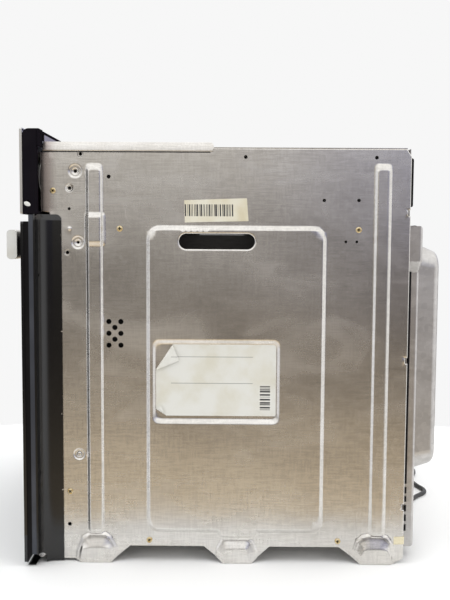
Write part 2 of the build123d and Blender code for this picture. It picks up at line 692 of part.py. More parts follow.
def door_bottom_trim():
    """The folded strip under the door, parallel to the mitre and open behind."""
    slit = 1.7
    run = Vector(MITRE_FOOT[0] - MITRE_TOP[0], MITRE_FOOT[1] - MITRE_TOP[1]).normalized()
    out = Vector(-run.Y, run.X)
    slope = run.X / run.Y
    sheet = 1.2
    foot = 0.6
    front = Vector(*MITRE_TOP) + out * slit
    rear = Vector(*MITRE_TOP) + out * (slit + sheet)

    def at(start, z):
        return (start.X + (z - start.Y) * slope, z)

    flange_rear = HINGE_Y - 3.5
    points = [at(front, DOOR_INNER_BOTTOM), at(front, foot), (flange_rear, foot), (flange_rear, foot + sheet),
              at(rear, foot + sheet), at(rear, DOOR_INNER_BOTTOM)]
    half = FRONT_HALF - 6
    return side_prism(points, mid(half))


def door_handle():
    """The flat handle bar with rounded edges."""
    bar = span(mid(HANDLE_HALF), (HANDLE_FRONT, HANDLE_FRONT + HANDLE_DEPTH), HANDLE_ZS)
    return fillet(bar.edges().filter_by(Axis.X), 5.5)


def handle_mounts():
    """The two standoffs between the handle and the front pane."""
    ys = (HANDLE_FRONT + HANDLE_DEPTH, DOOR_FRONT)
    mounts = []
    for xs in both(*MOUNT_XS):
        mount = span(xs, ys, MOUNT_ZS)
        mounts.append(fillet(mount.edges().filter_by(Axis.Y), 5))
    return joined(mounts)


def hinge_arms():
    """The door's two hinge arms, each with an eye round the hinge pin."""
    arms = []
    for xs in both(HINGE_X - 2, HINGE_X + 2):
        neck = span(xs, (-256.8, DOOR_REAR - 0.2), (HINGE_Z, 70))
        arm = neck + cross_rod((xs[0], xs[1]), (HINGE_Y, HINGE_Z), 5)
        arms.append(arm - cross_rod((xs[0] - 1, xs[1] + 1), (HINGE_Y, HINGE_Z), HINGE_PIN_R + RUNNING_GAP))
    return joined(arms)


EAR_XS = ((256.5, 260.5), (266.5, 270.5))
EAR_R = 4.6


def hinge_brackets():
    """The two fixed brackets behind the frame's foot, with ears on each side of the arm."""
    brackets = []
    plate_front = FRAME_FRONT + FRAME_SHEET
    for side in (-1, 1):
        bracket = span(tuple(sorted((side * 248, side * 271))), (plate_front, plate_front + 3),
                       (FRAME_PLATE_FOOT + 0.5, 62))
        for ear in EAR_XS:
            x0, x1 = sorted(side * x for x in ear)
            bar = [(HINGE_Y, HINGE_Z - 1), (-238, HINGE_Z - 1), (-238, 30), (plate_front + 2, 30),
                   (plate_front + 2, HINGE_Z + 4), (HINGE_Y, HINGE_Z + 4)]
            bracket = bracket + side_prism(bar, (x0, x1))
            bracket = bracket + cross_rod((x0, x1), (HINGE_Y, HINGE_Z), EAR_R)
        reach = sorted((side * 240, side * 275))
        brackets.append(bracket - cross_rod((reach[0], reach[1]), (HINGE_Y, HINGE_Z), HINGE_PIN_R))
    return joined(brackets)


PIN_XS = (246.0, 271.5)


def hinge_pins():
    """The two hinge pins."""
    pins = [cross_rod((x0, x1), (HINGE_Y, HINGE_Z), HINGE_PIN_R) for x0, x1 in both(*PIN_XS)]
    return joined(pins)


SPRING_R = 3.5
SPRING_WIRE_R = 0.8
SPRING_TURNS = 4
SPRING_PITCH = 2.1


def biarc(start, start_way, end, end_way):
    """Two arcs that share a tangent, from one point and direction to another."""
    chord = end - start
    ways = start_way + end_way
    spread = 2 * (1 - start_way.dot(end_way))
    along = chord.dot(ways)
    reach = (-along + (along**2 + spread * chord.dot(chord)) ** 0.5) / spread
    middle = (start + end + (start_way - end_way) * reach) * 0.5
    first = Edge.make_tangent_arc(start, start_way, middle)
    second = Edge.make_tangent_arc(middle, first % 1, end)
    return [first, second]


def least_gap(points, wire_r, apart):
    """The least free gap between stretches of a wire further apart along it than a given length."""
    least = 1e9
    step = (points[1] - points[0]).length
    skip = int(apart / step) + 1
    for i, point in enumerate(points):
        for other in points[i + skip:]:
            least = min(least, (other - point).length)
    return least - 2 * wire_r


def hinge_springs():
    """The two torsion springs round the inner ends of the hinge pins."""
    edges = []
    start = PIN_XS[0] + SPRING_WIRE_R + 0.3

    def at(turns):
        angle = 2 * pi * turns
        y, z = HINGE_Y + SPRING_R * cos(angle), HINGE_Z + SPRING_R * sin(angle)
        point = Vector(start + SPRING_PITCH * turns, y, z)
        way = Vector(SPRING_PITCH, -2 * pi * SPRING_R * sin(angle), 2 * pi * SPRING_R * cos(angle))
        return point, way.normalized()

    for quarter in range(4 * SPRING_TURNS):
        edges += biarc(*at(quarter / 4), *at((quarter + 1) / 4))
    path = Wire(edges)
    samples = [path @ (i / 240) for i in range(241)]
    print("hinge spring least gap", round(least_gap(samples, SPRING_WIRE_R, 3 * SPRING_R), 2))
    spring = tube(path, SPRING_WIRE_R)
    return joined([spring, mirror(spring, about=Plane.YZ)])


# Fascia and controls
FASCIA_WALL = 1.2
FASCIA_REAR = -267.6
CARRIER_REAR = -249.0
CARRIER_HALF = FRONT_HALF - 0.7
WINDOW_HALF = 46.0
WINDOW_ZS = (530.0, 564.0)
LAMP_XS = (-105.0, 105.0)
LAMP_R = 3.0
CLOCK_FRONT = -262.0


def fascia_front():
    """The stainless pan with the openings for the controls."""
    pan = span(mid(FRONT_HALF), (DOOR_FRONT, FASCIA_REAR), (FASCIA_BOTTOM, FRONT_TOP))
    pan = fillet(pan.edges().filter_by(Axis.Y), 2)
    wall = FASCIA_WALL
    pan = pan - span(mid(FRONT_HALF - wall), (DOOR_FRONT + wall, FASCIA_REAR + 1),
                     (FASCIA_BOTTOM + wall, FRONT_TOP - wall))
    ys = (DOOR_FRONT - 1, FASCIA_REAR + 1)
    for x in mid(KNOB_X):
        pan = pan - deep_rod((x, KNOB_Z), (ys[0], ys[1]), KNOB_R + 0.8)
    for x in BUTTON_XS:
        pan = pan - deep_rod((x, BUTTON_Z), (ys[0], ys[1]), BUTTON_R + 0.5)
    for x in LAMP_XS:
        pan = pan - deep_rod((x, KNOB_Z), (ys[0], ys[1]), LAMP_R)
    return pan - span(mid(WINDOW_HALF), ys, WINDOW_ZS)


def fascia_carrier():
    """The black channel behind the pan, open in the middle, with rounded top front edge and end slots."""
    low, top = FASCIA_BOTTOM + 0.6, FRONT_TOP - 0.8
    carrier = span(mid(CARRIER_HALF), (FASCIA_REAR, CARRIER_REAR), (low, top))
    edge = carrier.edges().filter_by(Axis.X).group_by(Axis.Z)[-1].sort_by(Axis.Y)[0]
    carrier = fillet(edge, 9)
    carrier = carrier - span(mid(CARRIER_HALF - 10), (FASCIA_REAR - 1, CARRIER_REAR + 1),
                             (low + 4, top - 4))
    for x in mid(CARRIER_HALF):
        slot = side_plane(x - 5) * Pos(-261.5, 496) * Rot(0, 0, 65) * SlotOverall(9, 5)
        carrier = carrier - extrude(slot, amount=10)
    rear_lip = span(mid(CARRIER_HALF - 2), (CARRIER_REAR, COVER_FRONT - 0.3), (COVER_TOP + 9, top - 1))
    return carrier + rear_lip


def control_bracket():
    """The plate behind the fascia that carries the controls."""
    half = BODY_HALF - SHEET - 0.2
    plate = span(mid(half), (BRACKET_FRONT, BRACKET_REAR), (FASCIA_BOTTOM + 5, 566))
    for x in mid(KNOB_X):
        plate = plate - deep_rod((x, KNOB_Z), (BRACKET_FRONT - 1, BRACKET_REAR + 1), 8)
    return plate


def clock_module():
    """The clock's case, with the bores that guide the button stems."""
    case = span((-56, 56), (CLOCK_FRONT, BRACKET_FRONT), (498, 572))
    for x in BUTTON_XS:
        case = case - deep_rod((x, BUTTON_Z), (CLOCK_FRONT - 1, BRACKET_FRONT - 2), STEM_R + RUNNING_GAP)
    return case


def clock_window():
    """The clear block in front of the clock's display."""
    low, high = WINDOW_ZS
    return span(mid(WINDOW_HALF - 0.2), (DOOR_FRONT + 0.2, CLOCK_FRONT), (low + 0.2, high - 0.2))


def clock_button(x):
    """One flush button with its guide stem."""
    head = deep_rod((x, BUTTON_Z), (DOOR_FRONT - 0.3, CLOCK_FRONT - 2), BUTTON_R)
    head = fillet(head.edges().group_by(Axis.Y)[0], 0.8)
    return head + deep_rod((x, BUTTON_Z), (CLOCK_FRONT - 2.5, BRACKET_FRONT - 4.5), STEM_R)


SPINDLE_YS = (-266.0, -224.0)
KNOB_REAR = -252.0
HUB_REAR = -240.0
SWITCH_YS = (-236.0, -198.0)


def knob(x):
    """A round retractable knob, flush when pushed in, with its hub and a pointer groove."""
    front = DOOR_FRONT - 0.2
    body = deep_rod((x, KNOB_Z), (front, KNOB_REAR), KNOB_R)
    body = fillet(body.edges().group_by(Axis.Y)[0], 1.5)
    body = body + deep_rod((x, KNOB_Z), (KNOB_REAR - 1, HUB_REAR), 6)
    body = body - span((x - 0.8, x + 0.8), (front - 1, front + 0.6), (KNOB_Z + 8, KNOB_Z + 17))
    return body - deep_rod((x, KNOB_Z), (-267, HUB_REAR + 1), SPINDLE_R + RUNNING_GAP)


def spindle(x):
    """The shaft that a knob slides and turns."""
    return deep_rod((x, KNOB_Z), (SPINDLE_YS[0], SPINDLE_YS[1]), SPINDLE_R)


def rotary_case(x, half, deep):
    """A switch or thermostat case with a mounting collar on the bracket and a bore for its spindle."""
    case = span((x - half, x + half), (SWITCH_YS[0], SWITCH_YS[1] + deep), (KNOB_Z - 25, BODY_TOP - 12))
    case = case + deep_rod((x, KNOB_Z), (BRACKET_REAR, SWITCH_YS[0] + 1), 13)
    case = case - deep_rod((x, KNOB_Z), (BRACKET_REAR - 1, SWITCH_YS[0]), 8)
    return case - deep_rod((x, KNOB_Z), (SWITCH_YS[0] - 1, SPINDLE_YS[1] + 2), SPINDLE_R + RUNNING_GAP)


def pilot_lamps():
    """The two signal lenses with their holders."""
    lamps = [deep_rod((x, KNOB_Z), (DOOR_FRONT - 0.2, BRACKET_FRONT), LAMP_R) for x in LAMP_XS]
    return joined(lamps)


# Cooling air
ROTOR_HALF = 120.0
ROTOR_BLADES = 20
HOUSING_HALF = 132.0
DUCT_ZS = (456.0, 480.0)


def cooling_rotor():
    """The long cross-flow rotor with its shaft."""
    rotor = cross_rod((-150, 176), (COOLING_Y, COOLING_Z), COOLING_SHAFT_R)
    for x in (-ROTOR_HALF, 0, ROTOR_HALF - 2):
        rotor = rotor + cross_rod((x, x + 2), (COOLING_Y, COOLING_Z), COOLING_R)
    blade = span(mid(ROTOR_HALF), (COOLING_R - 9, COOLING_R - 0.5), (-0.6, 0.6))
    for index in range(ROTOR_BLADES):
        turn = Pos(0, COOLING_Y, COOLING_Z) * Rot(360 / ROTOR_BLADES * index, 0, 0)
        rotor = rotor + turn * blade
    return rotor


def cooling_fan_housing():
    """The scroll round the rotor: two bearing plates, a back wall and a tongue."""
    wall = 1.5
    zs = (COOLING_Z - 34, BODY_TOP - 0.5)
    ys = (COOLING_Y - 44, COOLING_Y + 40)
    housing = span(mid(HOUSING_HALF), ys, zs)
    housing = housing - span(mid(HOUSING_HALF - wall), (ys[0] - 1, ys[1] - wall), (zs[0] - 1, zs[1] + 1))
    return housing - cross_rod((-200, 200), (COOLING_Y, COOLING_Z), COOLING_SHAFT_R + RUNNING_GAP)


def cooling_fan_motor():
    """The cooling fan's motor beside the scroll."""
    motor = span((HOUSING_HALF, 190), (COOLING_Y - 26, COOLING_Y + 26), (COOLING_Z - 26, COOLING_Z + 26))
    return motor - cross_rod((HOUSING_HALF - 1, 180), (COOLING_Y, COOLING_Z), COOLING_SHAFT_R + RUNNING_GAP)


def air_duct():
    """The flat duct that leads the cooling air to the slots above the door."""
    wall = 1.0
    ys = (FRAME_FRONT + FRAME_SHEET, COOLING_Y + 40)
    half = 205.0
    duct = span(mid(half), ys, DUCT_ZS)
    low, high = DUCT_ZS
    duct = duct - span(mid(half - wall), (ys[0] - 1, ys[1] - wall), (low + wall, high - wall))
    return duct - span(mid(HOUSING_HALF - 2), (COOLING_Y - 44, COOLING_Y + 38), (high - 2, high + 1))


# Supply
def terminal_block():
    """The mains terminal block on the rear panel, inside the back cover."""
    block = span((80, 140), (REAR_PANEL_REAR, 268), (150, 190))
    for x in (90, 110, 130):
        block = block - deep_rod((x, 170), (255, 270), 4)
    return block


def safety_cutout():
    """The safety thermostat on the inside of the rear panel."""
    return deep_rod((-190, 480), (236, REAR_PANEL_FRONT), 11)


def cord_gland():
    """The strain relief through the underside of the bulge."""
    gland = rod((GLAND_X, GLAND_Y, GLAND_LOW), (GLAND_X, GLAND_Y, 137), 8)
    gland = gland + rod((GLAND_X, GLAND_Y, GLAND_LOW + 3), (GLAND_X, GLAND_Y, 117), 10.5)
    return gland + rod((GLAND_X, GLAND_Y, 133), (GLAND_X, GLAND_Y, 138), 11)


COIL_OUTER = COIL_INNER + COIL_PITCH * COIL_LAYER_TURNS
COIL_START = (COIL_X + 2 * CORD_R, COIL_Y + COIL_OUTER, CORD_R)
CORD_ROUTE = [
    (GLAND_X, GLAND_Y, GLAND_LOW), (60, 288, 76), (57, 291, 46), (46, 298, 18), (22, 311, CORD_R),
    (-16, 331, CORD_R), (-46, 361, CORD_R), (-88, 346, CORD_R), (-128, 346, CORD_R),
    (-164, COIL_START[1], CORD_R), COIL_START,
]


def mains_cord():
    """The free stretch of the cord: down from the gland and along the surface to the coil."""
    points = [Vector(*point) for point in CORD_ROUTE]
    radii = []
    for before, corner, after in zip(points, points[1:], points[2:]):
        turn = (corner - before).get_angle(after - corner) * pi / 180
        shorter = min((corner - before).length, (after - corner).length)
        radii.append(0.45 * shorter / tan(turn / 2))
    print("cord radii", [round(radius, 1) for radius in radii])
    path = FilletPolyline(*CORD_ROUTE, radius=radii)
    cord = tube(path, CORD_R)
    ratio = cord.volume / (pi * CORD_R**2 * path.length)
    print("cord length", round(path.length, 1), "volume ratio", round(ratio, 4))
    return cord


def cord_coil():
    """The put-away length: it spirals in on the surface, climbs in a half turn and spirals out on top."""
    climb_end = COIL_LAYER_TURNS + 0.5
    turns = 2 * COIL_LAYER_TURNS + 0.5

    def at(turn):
        angle = pi / 2 + 2 * pi * turn
        if turn <= COIL_LAYER_TURNS:
            radius, height, drift = COIL_OUTER - COIL_PITCH * turn, CORD_R, -COIL_PITCH
        else:
            radius = COIL_INNER + COIL_PITCH * max(0, turn - climb_end)
            height, drift = CORD_R + COIL_RISE, COIL_PITCH
        if turn in (0, COIL_LAYER_TURNS, climb_end, turns):
            drift = 0
        point = Vector(COIL_X + radius * cos(angle), COIL_Y + radius * sin(angle), height)
        way = Vector(drift * cos(angle) - 2 * pi * radius * sin(angle),
                     drift * sin(angle) + 2 * pi * radius * cos(angle), 0)
        return point, way.normalized()

    stops = [quarter / 4 for quarter in range(int(4 * COIL_LAYER_TURNS) + 1)]
    stops += [climb_end + quarter / 4 for quarter in range(int(4 * COIL_LAYER_TURNS) + 1)]
    first, last = at(0)[0], at(turns)[0]
    edges = [Edge.make_line(Vector(*COIL_START), first)]
    for begin, end in zip(stops, stops[1:]):
        edges += biarc(*at(begin), *at(end))
    edges.append(Edge.make_line(last, last + Vector(-COIL_TAIL, 0, 0)))
    path = Wire(edges)
    samples = [path @ (i / 600) for i in range(601)]
    print("coil length", round(path.length, 1), "least gap", round(least_gap(samples, CORD_R, 8 * CORD_R), 2))
    coil = tube(path, CORD_R)
    print("coil volume ratio", round(coil.volume / (pi * CORD_R**2 * path.length), 4))
    return coil


def mains_plug():
    """A plain moulded plug with two pins."""
    start = COIL_X - COIL_TAIL
    y, z = COIL_Y + COIL_OUTER, CORD_R + COIL_RISE
    plug = cross_rod((start, start - 10), (y, z), 6) + cross_rod((start - 8, start - 30), (y, z), 11)
    for offset in (-6, 6):
        plug = plug + cross_rod((start - 29, start - 48), (y + offset, z), 2.3)
    return plug


def panel_screws():
    """The casing's screws: the same on both side sheets, and those of the back cover."""
    screws = []
    for side in (-1, 1):
        for y, z in SIDE_SCREWS:
            seat = side * BODY_HALF
            head = cross_rod((seat, seat + side * SCREW_HEAD), (y, z), SCREW_HEAD_R)
            rims = head.edges().filter_by(GeomType.CIRCLE).sort_by(lambda e: abs(e.center().X))
            head = fillet(rims[-1], 0.8)
            screws.append(head + cross_rod((seat, seat - side * 7), (y, z), SCREW_SHANK_R))
        for z in BACK_TABS:
            x = side * (BACK_TAB_REACH - 6)
            seat = REAR_PANEL_REAR + SHEET
            head = deep_rod((x, z), (seat, seat + SCREW_HEAD), SCREW_HEAD_R)
            screws.append(head + deep_rod((x, z), (seat, seat - SHEET), SCREW_SHANK_R))
    return joined(screws)


def main():
    os.makedirs("parts", exist_ok=True)
    right = side_panel()
    save("side_panel_right", right)
    save("side_panel_left", mirror(right, about=Plane.YZ))
    for make in (
        front_frame, door_gasket, top_cover_front, top_cover_rear, base_plate, rear_panel,
        rear_air_baffle, back_cover, cavity_muffle, cavity_insulation, grill_element, base_element,
        ring_element, fan_baffle, convection_fan, fan_motor, lamp_holder, lamp_bulb, lamp_glass,
        thermostat_probe, shelf_rails, door_glass_outer, door_spacer_frame, door_inner_frame,
        door_glass_inner, door_bottom_trim, door_handle, handle_mounts, hinge_arms, hinge_brackets,
        hinge_pins, hinge_springs, fascia_front, fascia_carrier, control_bracket, clock_module,
        clock_window, pilot_lamps, cooling_rotor, cooling_fan_housing, cooling_fan_motor, air_duct,
        terminal_block, safety_cutout, cord_gland, mains_cord, cord_coil, mains_plug, panel_screws,
    ):
        save(make.__name__, make())
    for name, x in zip(("left", "middle", "right"), BUTTON_XS):
        save(f"clock_button_{name}", clock_button(x))
    save("function_knob", knob(-KNOB_X))
    save("temperature_knob", knob(KNOB_X))
    save("function_spindle", spindle(-KNOB_X))
    save("temperature_spindle", spindle(KNOB_X))
    save("function_switch", rotary_case(-KNOB_X, 24, 0))
    save("thermostat", rotary_case(KNOB_X, 20, 12))


main()
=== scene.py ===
"""Built-in wall oven out of its cabinet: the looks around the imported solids, in metres.

+X is the side that the camera sees, -Y the door, +Z up. Tables of places are in millimetres.
"""

import json

import bmesh
import bpy
import numpy as np
from mathutils import Matrix, Vector
from mathutils.geometry import delaunay_2d_cdt


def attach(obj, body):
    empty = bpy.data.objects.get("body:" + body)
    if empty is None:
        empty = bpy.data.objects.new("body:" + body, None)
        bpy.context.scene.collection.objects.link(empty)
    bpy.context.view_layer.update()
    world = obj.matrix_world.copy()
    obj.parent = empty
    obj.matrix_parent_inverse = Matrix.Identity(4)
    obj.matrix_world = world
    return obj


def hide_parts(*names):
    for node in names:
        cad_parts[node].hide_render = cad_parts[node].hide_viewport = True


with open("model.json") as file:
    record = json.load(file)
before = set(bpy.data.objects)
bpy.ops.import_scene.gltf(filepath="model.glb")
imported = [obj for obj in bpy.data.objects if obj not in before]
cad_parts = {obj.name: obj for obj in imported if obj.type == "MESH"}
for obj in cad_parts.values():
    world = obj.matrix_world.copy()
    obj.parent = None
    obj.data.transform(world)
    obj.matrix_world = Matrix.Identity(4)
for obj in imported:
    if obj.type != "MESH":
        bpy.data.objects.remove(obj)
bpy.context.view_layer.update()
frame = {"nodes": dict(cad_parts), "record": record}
MM = 0.001
scene = bpy.context.scene
scene.view_settings.view_transform = "Standard"


def put(name, data):
    """A new object in the scene."""
    made = bpy.data.objects.new(name, data)
    scene.collection.objects.link(made)
    return made


# Camera: the photograph's place, turn and lens
CAMERA_AT = (1.4063, 0.0100, 0.4552)
CAMERA_YAW, CAMERA_PITCH, CAMERA_ROLL = 0.0076, 0.0777, 0.0058
LENS, SENSOR = 50.0, 36.0


def make_camera():
    """Looks along -X, turned by yaw and pitch, then rolled about the line of sight."""
    level = np.cos(CAMERA_PITCH)
    ahead = -np.array((level * np.cos(CAMERA_YAW), level * np.sin(CAMERA_YAW), np.sin(CAMERA_PITCH)))
    right = np.cross(ahead, (0, 0, 1))
    right = right / np.linalg.norm(right)
    up = np.cross(right, ahead)
    turn, lean = np.cos(CAMERA_ROLL), np.sin(CAMERA_ROLL)
    axes = np.eye(4)
    axes[:3] = np.column_stack((turn * right + lean * up, turn * up - lean * right, -ahead, CAMERA_AT))
    lens = bpy.data.cameras.new("camera")
    lens.sensor_fit = "VERTICAL"
    lens.sensor_height = SENSOR
    lens.lens = LENS
    scene.camera = put("camera", lens)
    scene.camera.matrix_world = Matrix(axes.tolist())


# Shader sums
class Socket:
    """A shader socket. Sums of sockets and numbers add Math nodes."""

    def __init__(self, tree, socket=None):
        self.tree = tree
        self.socket = socket

    def node(self, kind, settings=None, sockets=None, out=0):
        """Any node: its settings are set first, then the values or links of its sockets by name or place."""
        made = self.tree.nodes.new("ShaderNode" + kind)
        for name, value in (settings or {}).items():
            setattr(made, name, value)
        for key, value in (sockets or {}).items():
            if isinstance(value, Socket):
                self.tree.links.new(value.socket, made.inputs[key])
            else:
                made.inputs[key].default_value = value
        return Socket(self.tree, made.outputs[out])

    def math(self, operation, *values):
        """A Math node on sockets and numbers."""
        return self.node("Math", {"operation": operation}, dict(enumerate(values)))

    def __add__(self, other):
        return self.math("ADD", self, other)

    def __sub__(self, other):
        return self.math("SUBTRACT", self, other)

    def __rsub__(self, other):
        return self.math("SUBTRACT", other, self)

    def __mul__(self, other):
        return self.math("MULTIPLY", self, other)

    def __abs__(self):
        return self.math("ABSOLUTE", self)

    __radd__ = __add__
    __rmul__ = __mul__

    def step(self, low, high):
        """0 below low and 1 above high, with a smooth rise between."""
        return self.node("MapRange", {"interpolation_type": "SMOOTHSTEP"},
                         {"Value": self, "From Min": low, "From Max": high})

    def part(self, axis):
        """One coordinate of a vector."""
        return self.node("SeparateXYZ", None, {0: self}, "XYZ".index(axis))

    def stretched(self, x, y, z, turn=0.0):
        """The same place with each coordinate scaled, then turned about X."""
        return self.node("Mapping", None, {"Vector": self, "Rotation": (turn, 0.0, 0.0), "Scale": (x, y, z)})

    def noise(self, scale, detail=2.0, warp=0.0):
        """Clouds from 0 to 1, with finer layers by detail."""
        return self.node("TexNoise", None,
                         {"Vector": self, "Scale": scale, "Detail": detail, "Distortion": warp})

    def cells(self, scale, out=0):
        """Cells round scattered points: the distance to the nearest point, or as output 1 its colour."""
        return self.node("TexVoronoi", None, {"Vector": self, "Scale": scale}, out)

    def within(self, low, high, soft):
        """1 between two values, with soft edges."""
        return self.step(low - soft, low + soft) * (1 - self.step(high - soft, high + soft))

    def blend(self, first, second):
        """The colour that lies this far from the first to the second."""
        pair = {6 + place: colour if isinstance(colour, Socket) else (*colour, 1.0)
                for place, colour in enumerate((first, second))}
        return self.node("Mix", {"data_type": "RGBA"}, {0: self, **pair}, 2)


class Finish:
    """A material: fixed values on its shader, and sockets that vary over the surface."""

    def __init__(self, name, **fixed):
        self.name = name
        self.material = bpy.data.materials.new(name)
        self.material.use_nodes = True
        self.tree = self.material.node_tree
        self.shader = self.tree.nodes["Principled BSDF"]
        for key, value in fixed.items():
            socket = self.shader.inputs[key.replace("_", " ")]
            socket.default_value = (*value, 1.0) if isinstance(value, tuple) else value
        self.place = Socket(self.tree).node("TexCoord", out=3)

    def vary(self, **sockets):
        """Feeds the shader's sockets, which are named with underscores."""
        for key, value in sockets.items():
            self.tree.links.new(value.socket, self.shader.inputs[key.replace("_", " ")])
        return self

    def bump(self, height, distance):
        """Tilts the surface by a height pattern of that depth in metres."""
        return self.vary(Normal=height.node("Bump", None, {"Height": height, "Distance": distance}))


# Finishes
def galvanised(name, rough, dark, pale):
    """Zinc-coated sheet: rolled lines along Y, crystals, grain, clouds, smears, scratches, and painted shade
    near the front at the top.
    """
    zinc = Finish(name, Metallic=1.0)
    at = zinc.place
    cloud = at.noise(6.0, 5.0)
    crystal = at.cells(150.0, 1).part("X")
    weave = at.stretched(1.0, 1.0, 0.12).noise(420.0)
    grain = at.stretched(1.0, 0.10, 1.0).noise(520.0, 3.0) * 0.6 + weave * 0.4
    lines = at.stretched(1.0, 0.03, 1.0).noise(1400.0, 3.0)
    wander = at.stretched(1.0, 0.45, 1.6).noise(7.0, 0.6)
    scuff = (1 - abs(wander - 0.52).step(0.0, 0.0022)) * at.noise(17.0).step(0.52, 0.62)
    smear = at.stretched(1.0, 1.0, 2.2, 0.7).noise(8.0, 3.0, 0.9).step(0.42, 0.80)
    # Painted shade: the sheet is darkened near the front at the top, where the fascia carrier's overhang
    # shades it.
    painted_front_shade = (1 - at.part("Y").step(-0.242, -0.224)) * at.part("Z").step(0.47, 0.49)
    colour = cloud.step(0.3, 0.7).blend(dark, pale)
    colour = (crystal * 0.25).blend(colour, (0.82, 0.80, 0.77))
    colour = (grain.step(0.42, 0.60) * 0.36).blend(colour, (0.46, 0.44, 0.415))
    colour = (smear * 0.35).blend(colour, (0.84, 0.83, 0.82))
    colour = (scuff * 0.3).blend(colour, (0.90, 0.89, 0.87))
    # The painted shade's dark colour, blended in by that mask.
    colour = (painted_front_shade * 0.85).blend(colour, (0.34, 0.285, 0.27))
    zinc.vary(Base_Color=colour, Roughness=rough + cloud * 0.10 + grain * 0.06 + smear * 0.06)
    return zinc.bump(lines * 0.6 + crystal * 0.08, 0.00004)


def black_enamel():
    """Gloss enamel: a faint orange peel, dust, chipped specks along its rear edge and a soft top edge."""
    enamel = Finish("black_enamel", Specular_IOR_Level=0.6)
    at = enamel.place
    dust = at.noise(60.0, 6.0)
    edge = at.part("Y").within(-0.2245, -0.2195, 0.0012)
    chip = at.noise(160.0).step(0.70, 0.73) * edge
    film = at.stretched(1.0, 1.0, 0.25).noise(9.0, 3.0)
    colour = (dust.step(0.45, 0.8) * 0.3).blend((0.003, 0.0027, 0.0027), (0.012, 0.0105, 0.010))
    enamel.vary(Base_Color=chip.blend(colour, (0.42, 0.36, 0.30)), Roughness=0.16 + film * 0.10 + chip * 0.4)
    peel = at.noise(220.0, 1.0) * 0.008
    return enamel.bump(peel - at.part("Z").step(0.4735, 0.4835), 0.004)


def muffle_enamel():
    """Dark chamber enamel with pale specks."""
    enamel = Finish("muffle_enamel")
    at = enamel.place
    speck = 1 - at.cells(260.0).step(0.10, 0.16)
    colour = (speck * at.noise(90.0).step(0.45, 0.55)).blend((0.026, 0.028, 0.034), (0.35, 0.36, 0.38))
    enamel.vary(Base_Color=colour, Roughness=0.20 + at.noise(30.0, 4.0) * 0.12)
    return enamel.bump(at.noise(140.0), 0.00005)


STEEL_DARK, STEEL_PALE = (0.56, 0.555, 0.54), (0.70, 0.695, 0.68)
BRUSH_DEPTH = 0.00002


def brushed(at, clouds):
    """Brush lines along X, a film with clouds of that scale, and the steel's colour from both."""
    brush = at.stretched(0.015, 1.0, 1.0).noise(2600.0, 3.0)
    film = at.noise(clouds, 4.0)
    return brush, film, (brush * 0.5 + film * 0.5).blend(STEEL_DARK, STEEL_PALE)


def stainless():
    """Fine brushed steel."""
    steel = Finish("stainless", Metallic=1.0)
    brush, film, colour = brushed(steel.place, 11.0)
    steel.vary(Base_Color=colour, Roughness=0.19 + brush * 0.14 + film * 0.08)
    return steel.bump(brush, BRUSH_DEPTH)


def handle_steel():
    """The handle's brushed steel, with pale plastic caps on its two ends."""
    bar = Finish("handle_steel")
    brush, film, steel = brushed(bar.place, 24.0)
    cap = abs(bar.place.part("X")).step(0.2405, 0.2415)
    plastic = film.step(0.4, 0.8).blend((0.86, 0.85, 0.81), (0.74, 0.71, 0.63))
    bar.vary(Base_Color=cap.blend(steel, plastic), Metallic=1 - cap,
             Roughness=0.22 + brush * 0.12 + film * 0.08)
    return bar.bump(brush, BRUSH_DEPTH)


def hazy(name, clouds, dark, pale, rough, ramp=None, relief=None, **fixed):
    """A finish that follows one noise. Rough is the least roughness and its rise, a ramp sharpens the colour
    and gives its share, and relief is the scale and depth of a finer noise."""
    skin = Finish(name, **fixed)
    haze = skin.place.noise(*clouds)
    share = haze.step(*ramp[:2]) * ramp[2] if ramp else haze
    skin.vary(Base_Color=share.blend(dark, pale), Roughness=rough[0] + haze * rough[1])
    if relief:
        skin.bump(skin.place.noise(relief[0]), relief[1])
    return skin


def moulded(name, colour, rough, grain, pale, gloss=0.5):
    """Moulded plastic or rubber: an eroded grain in the bump, and a little pale bloom."""
    skin = Finish(name, Specular_IOR_Level=gloss)
    at = skin.place
    bloom = at.noise(24.0, 5.0)
    skin.vary(Base_Color=(bloom.step(0.4, 0.8) * 0.5).blend(colour, pale), Roughness=rough + bloom * 0.12)
    return skin.bump(at.cells(grain), 0.00006)


def front_glass():
    """The front pane: black print that thins out to a smoked window in the middle."""
    glass = Finish("door_glass", Specular_IOR_Level=0.55)
    at = glass.place
    inside = (1 - abs(at.part("X")).step(0.196, 0.214)) * at.part("Z").within(0.105, 0.385, 0.009)
    smear = at.stretched(1.0, 1.0, 0.4).noise(12.0, 5.0)
    glass.vary(Base_Color=inside.blend((0.006, 0.006, 0.0065), (0.018, 0.019, 0.02)),
               Alpha=1 - inside * 0.35, Roughness=0.03 + smear.step(0.5, 0.8) * 0.07)
    return glass


def clear_glass():
    """Clear heat-proof glass with a trace of grease."""
    glass = Finish("clear_glass", Base_Color=(0.86, 0.9, 0.88), Transmission_Weight=1.0, IOR=1.46)
    return glass.vary(Roughness=0.02 + glass.place.noise(20.0, 5.0).step(0.5, 0.8) * 0.12)


def mineral_wool():
    """Dark-faced felt of fibres."""
    wool = Finish("wool", Roughness=0.95, Sheen_Weight=0.3)
    fibre = wool.place.stretched(1.0, 0.2, 1.0).noise(350.0, 5.0)
    wool.vary(Base_Color=fibre.blend((0.03, 0.028, 0.026), (0.075, 0.07, 0.065)))
    return wool.bump(fibre, 0.0008)


def passivated():
    """Yellow passivated screws: brassy, with iridescent patches and painted shade in the recess."""
    plate = Finish("brass_screw", Metallic=1.0)
    tint = plate.place.noise(330.0, 3.0)
    groove = plate.place.node("Attribute", {"attribute_name": "groove"}, out=2)
    colour = tint.step(0.35, 0.65).blend((0.62, 0.43, 0.16), (0.74, 0.66, 0.46))
    # Painted shade: the cross recess is coloured near black, as if in shadow.
    return plate.vary(Base_Color=groove.blend(colour, (0.02, 0.015, 0.01)), Roughness=0.24 + tint * 0.2)


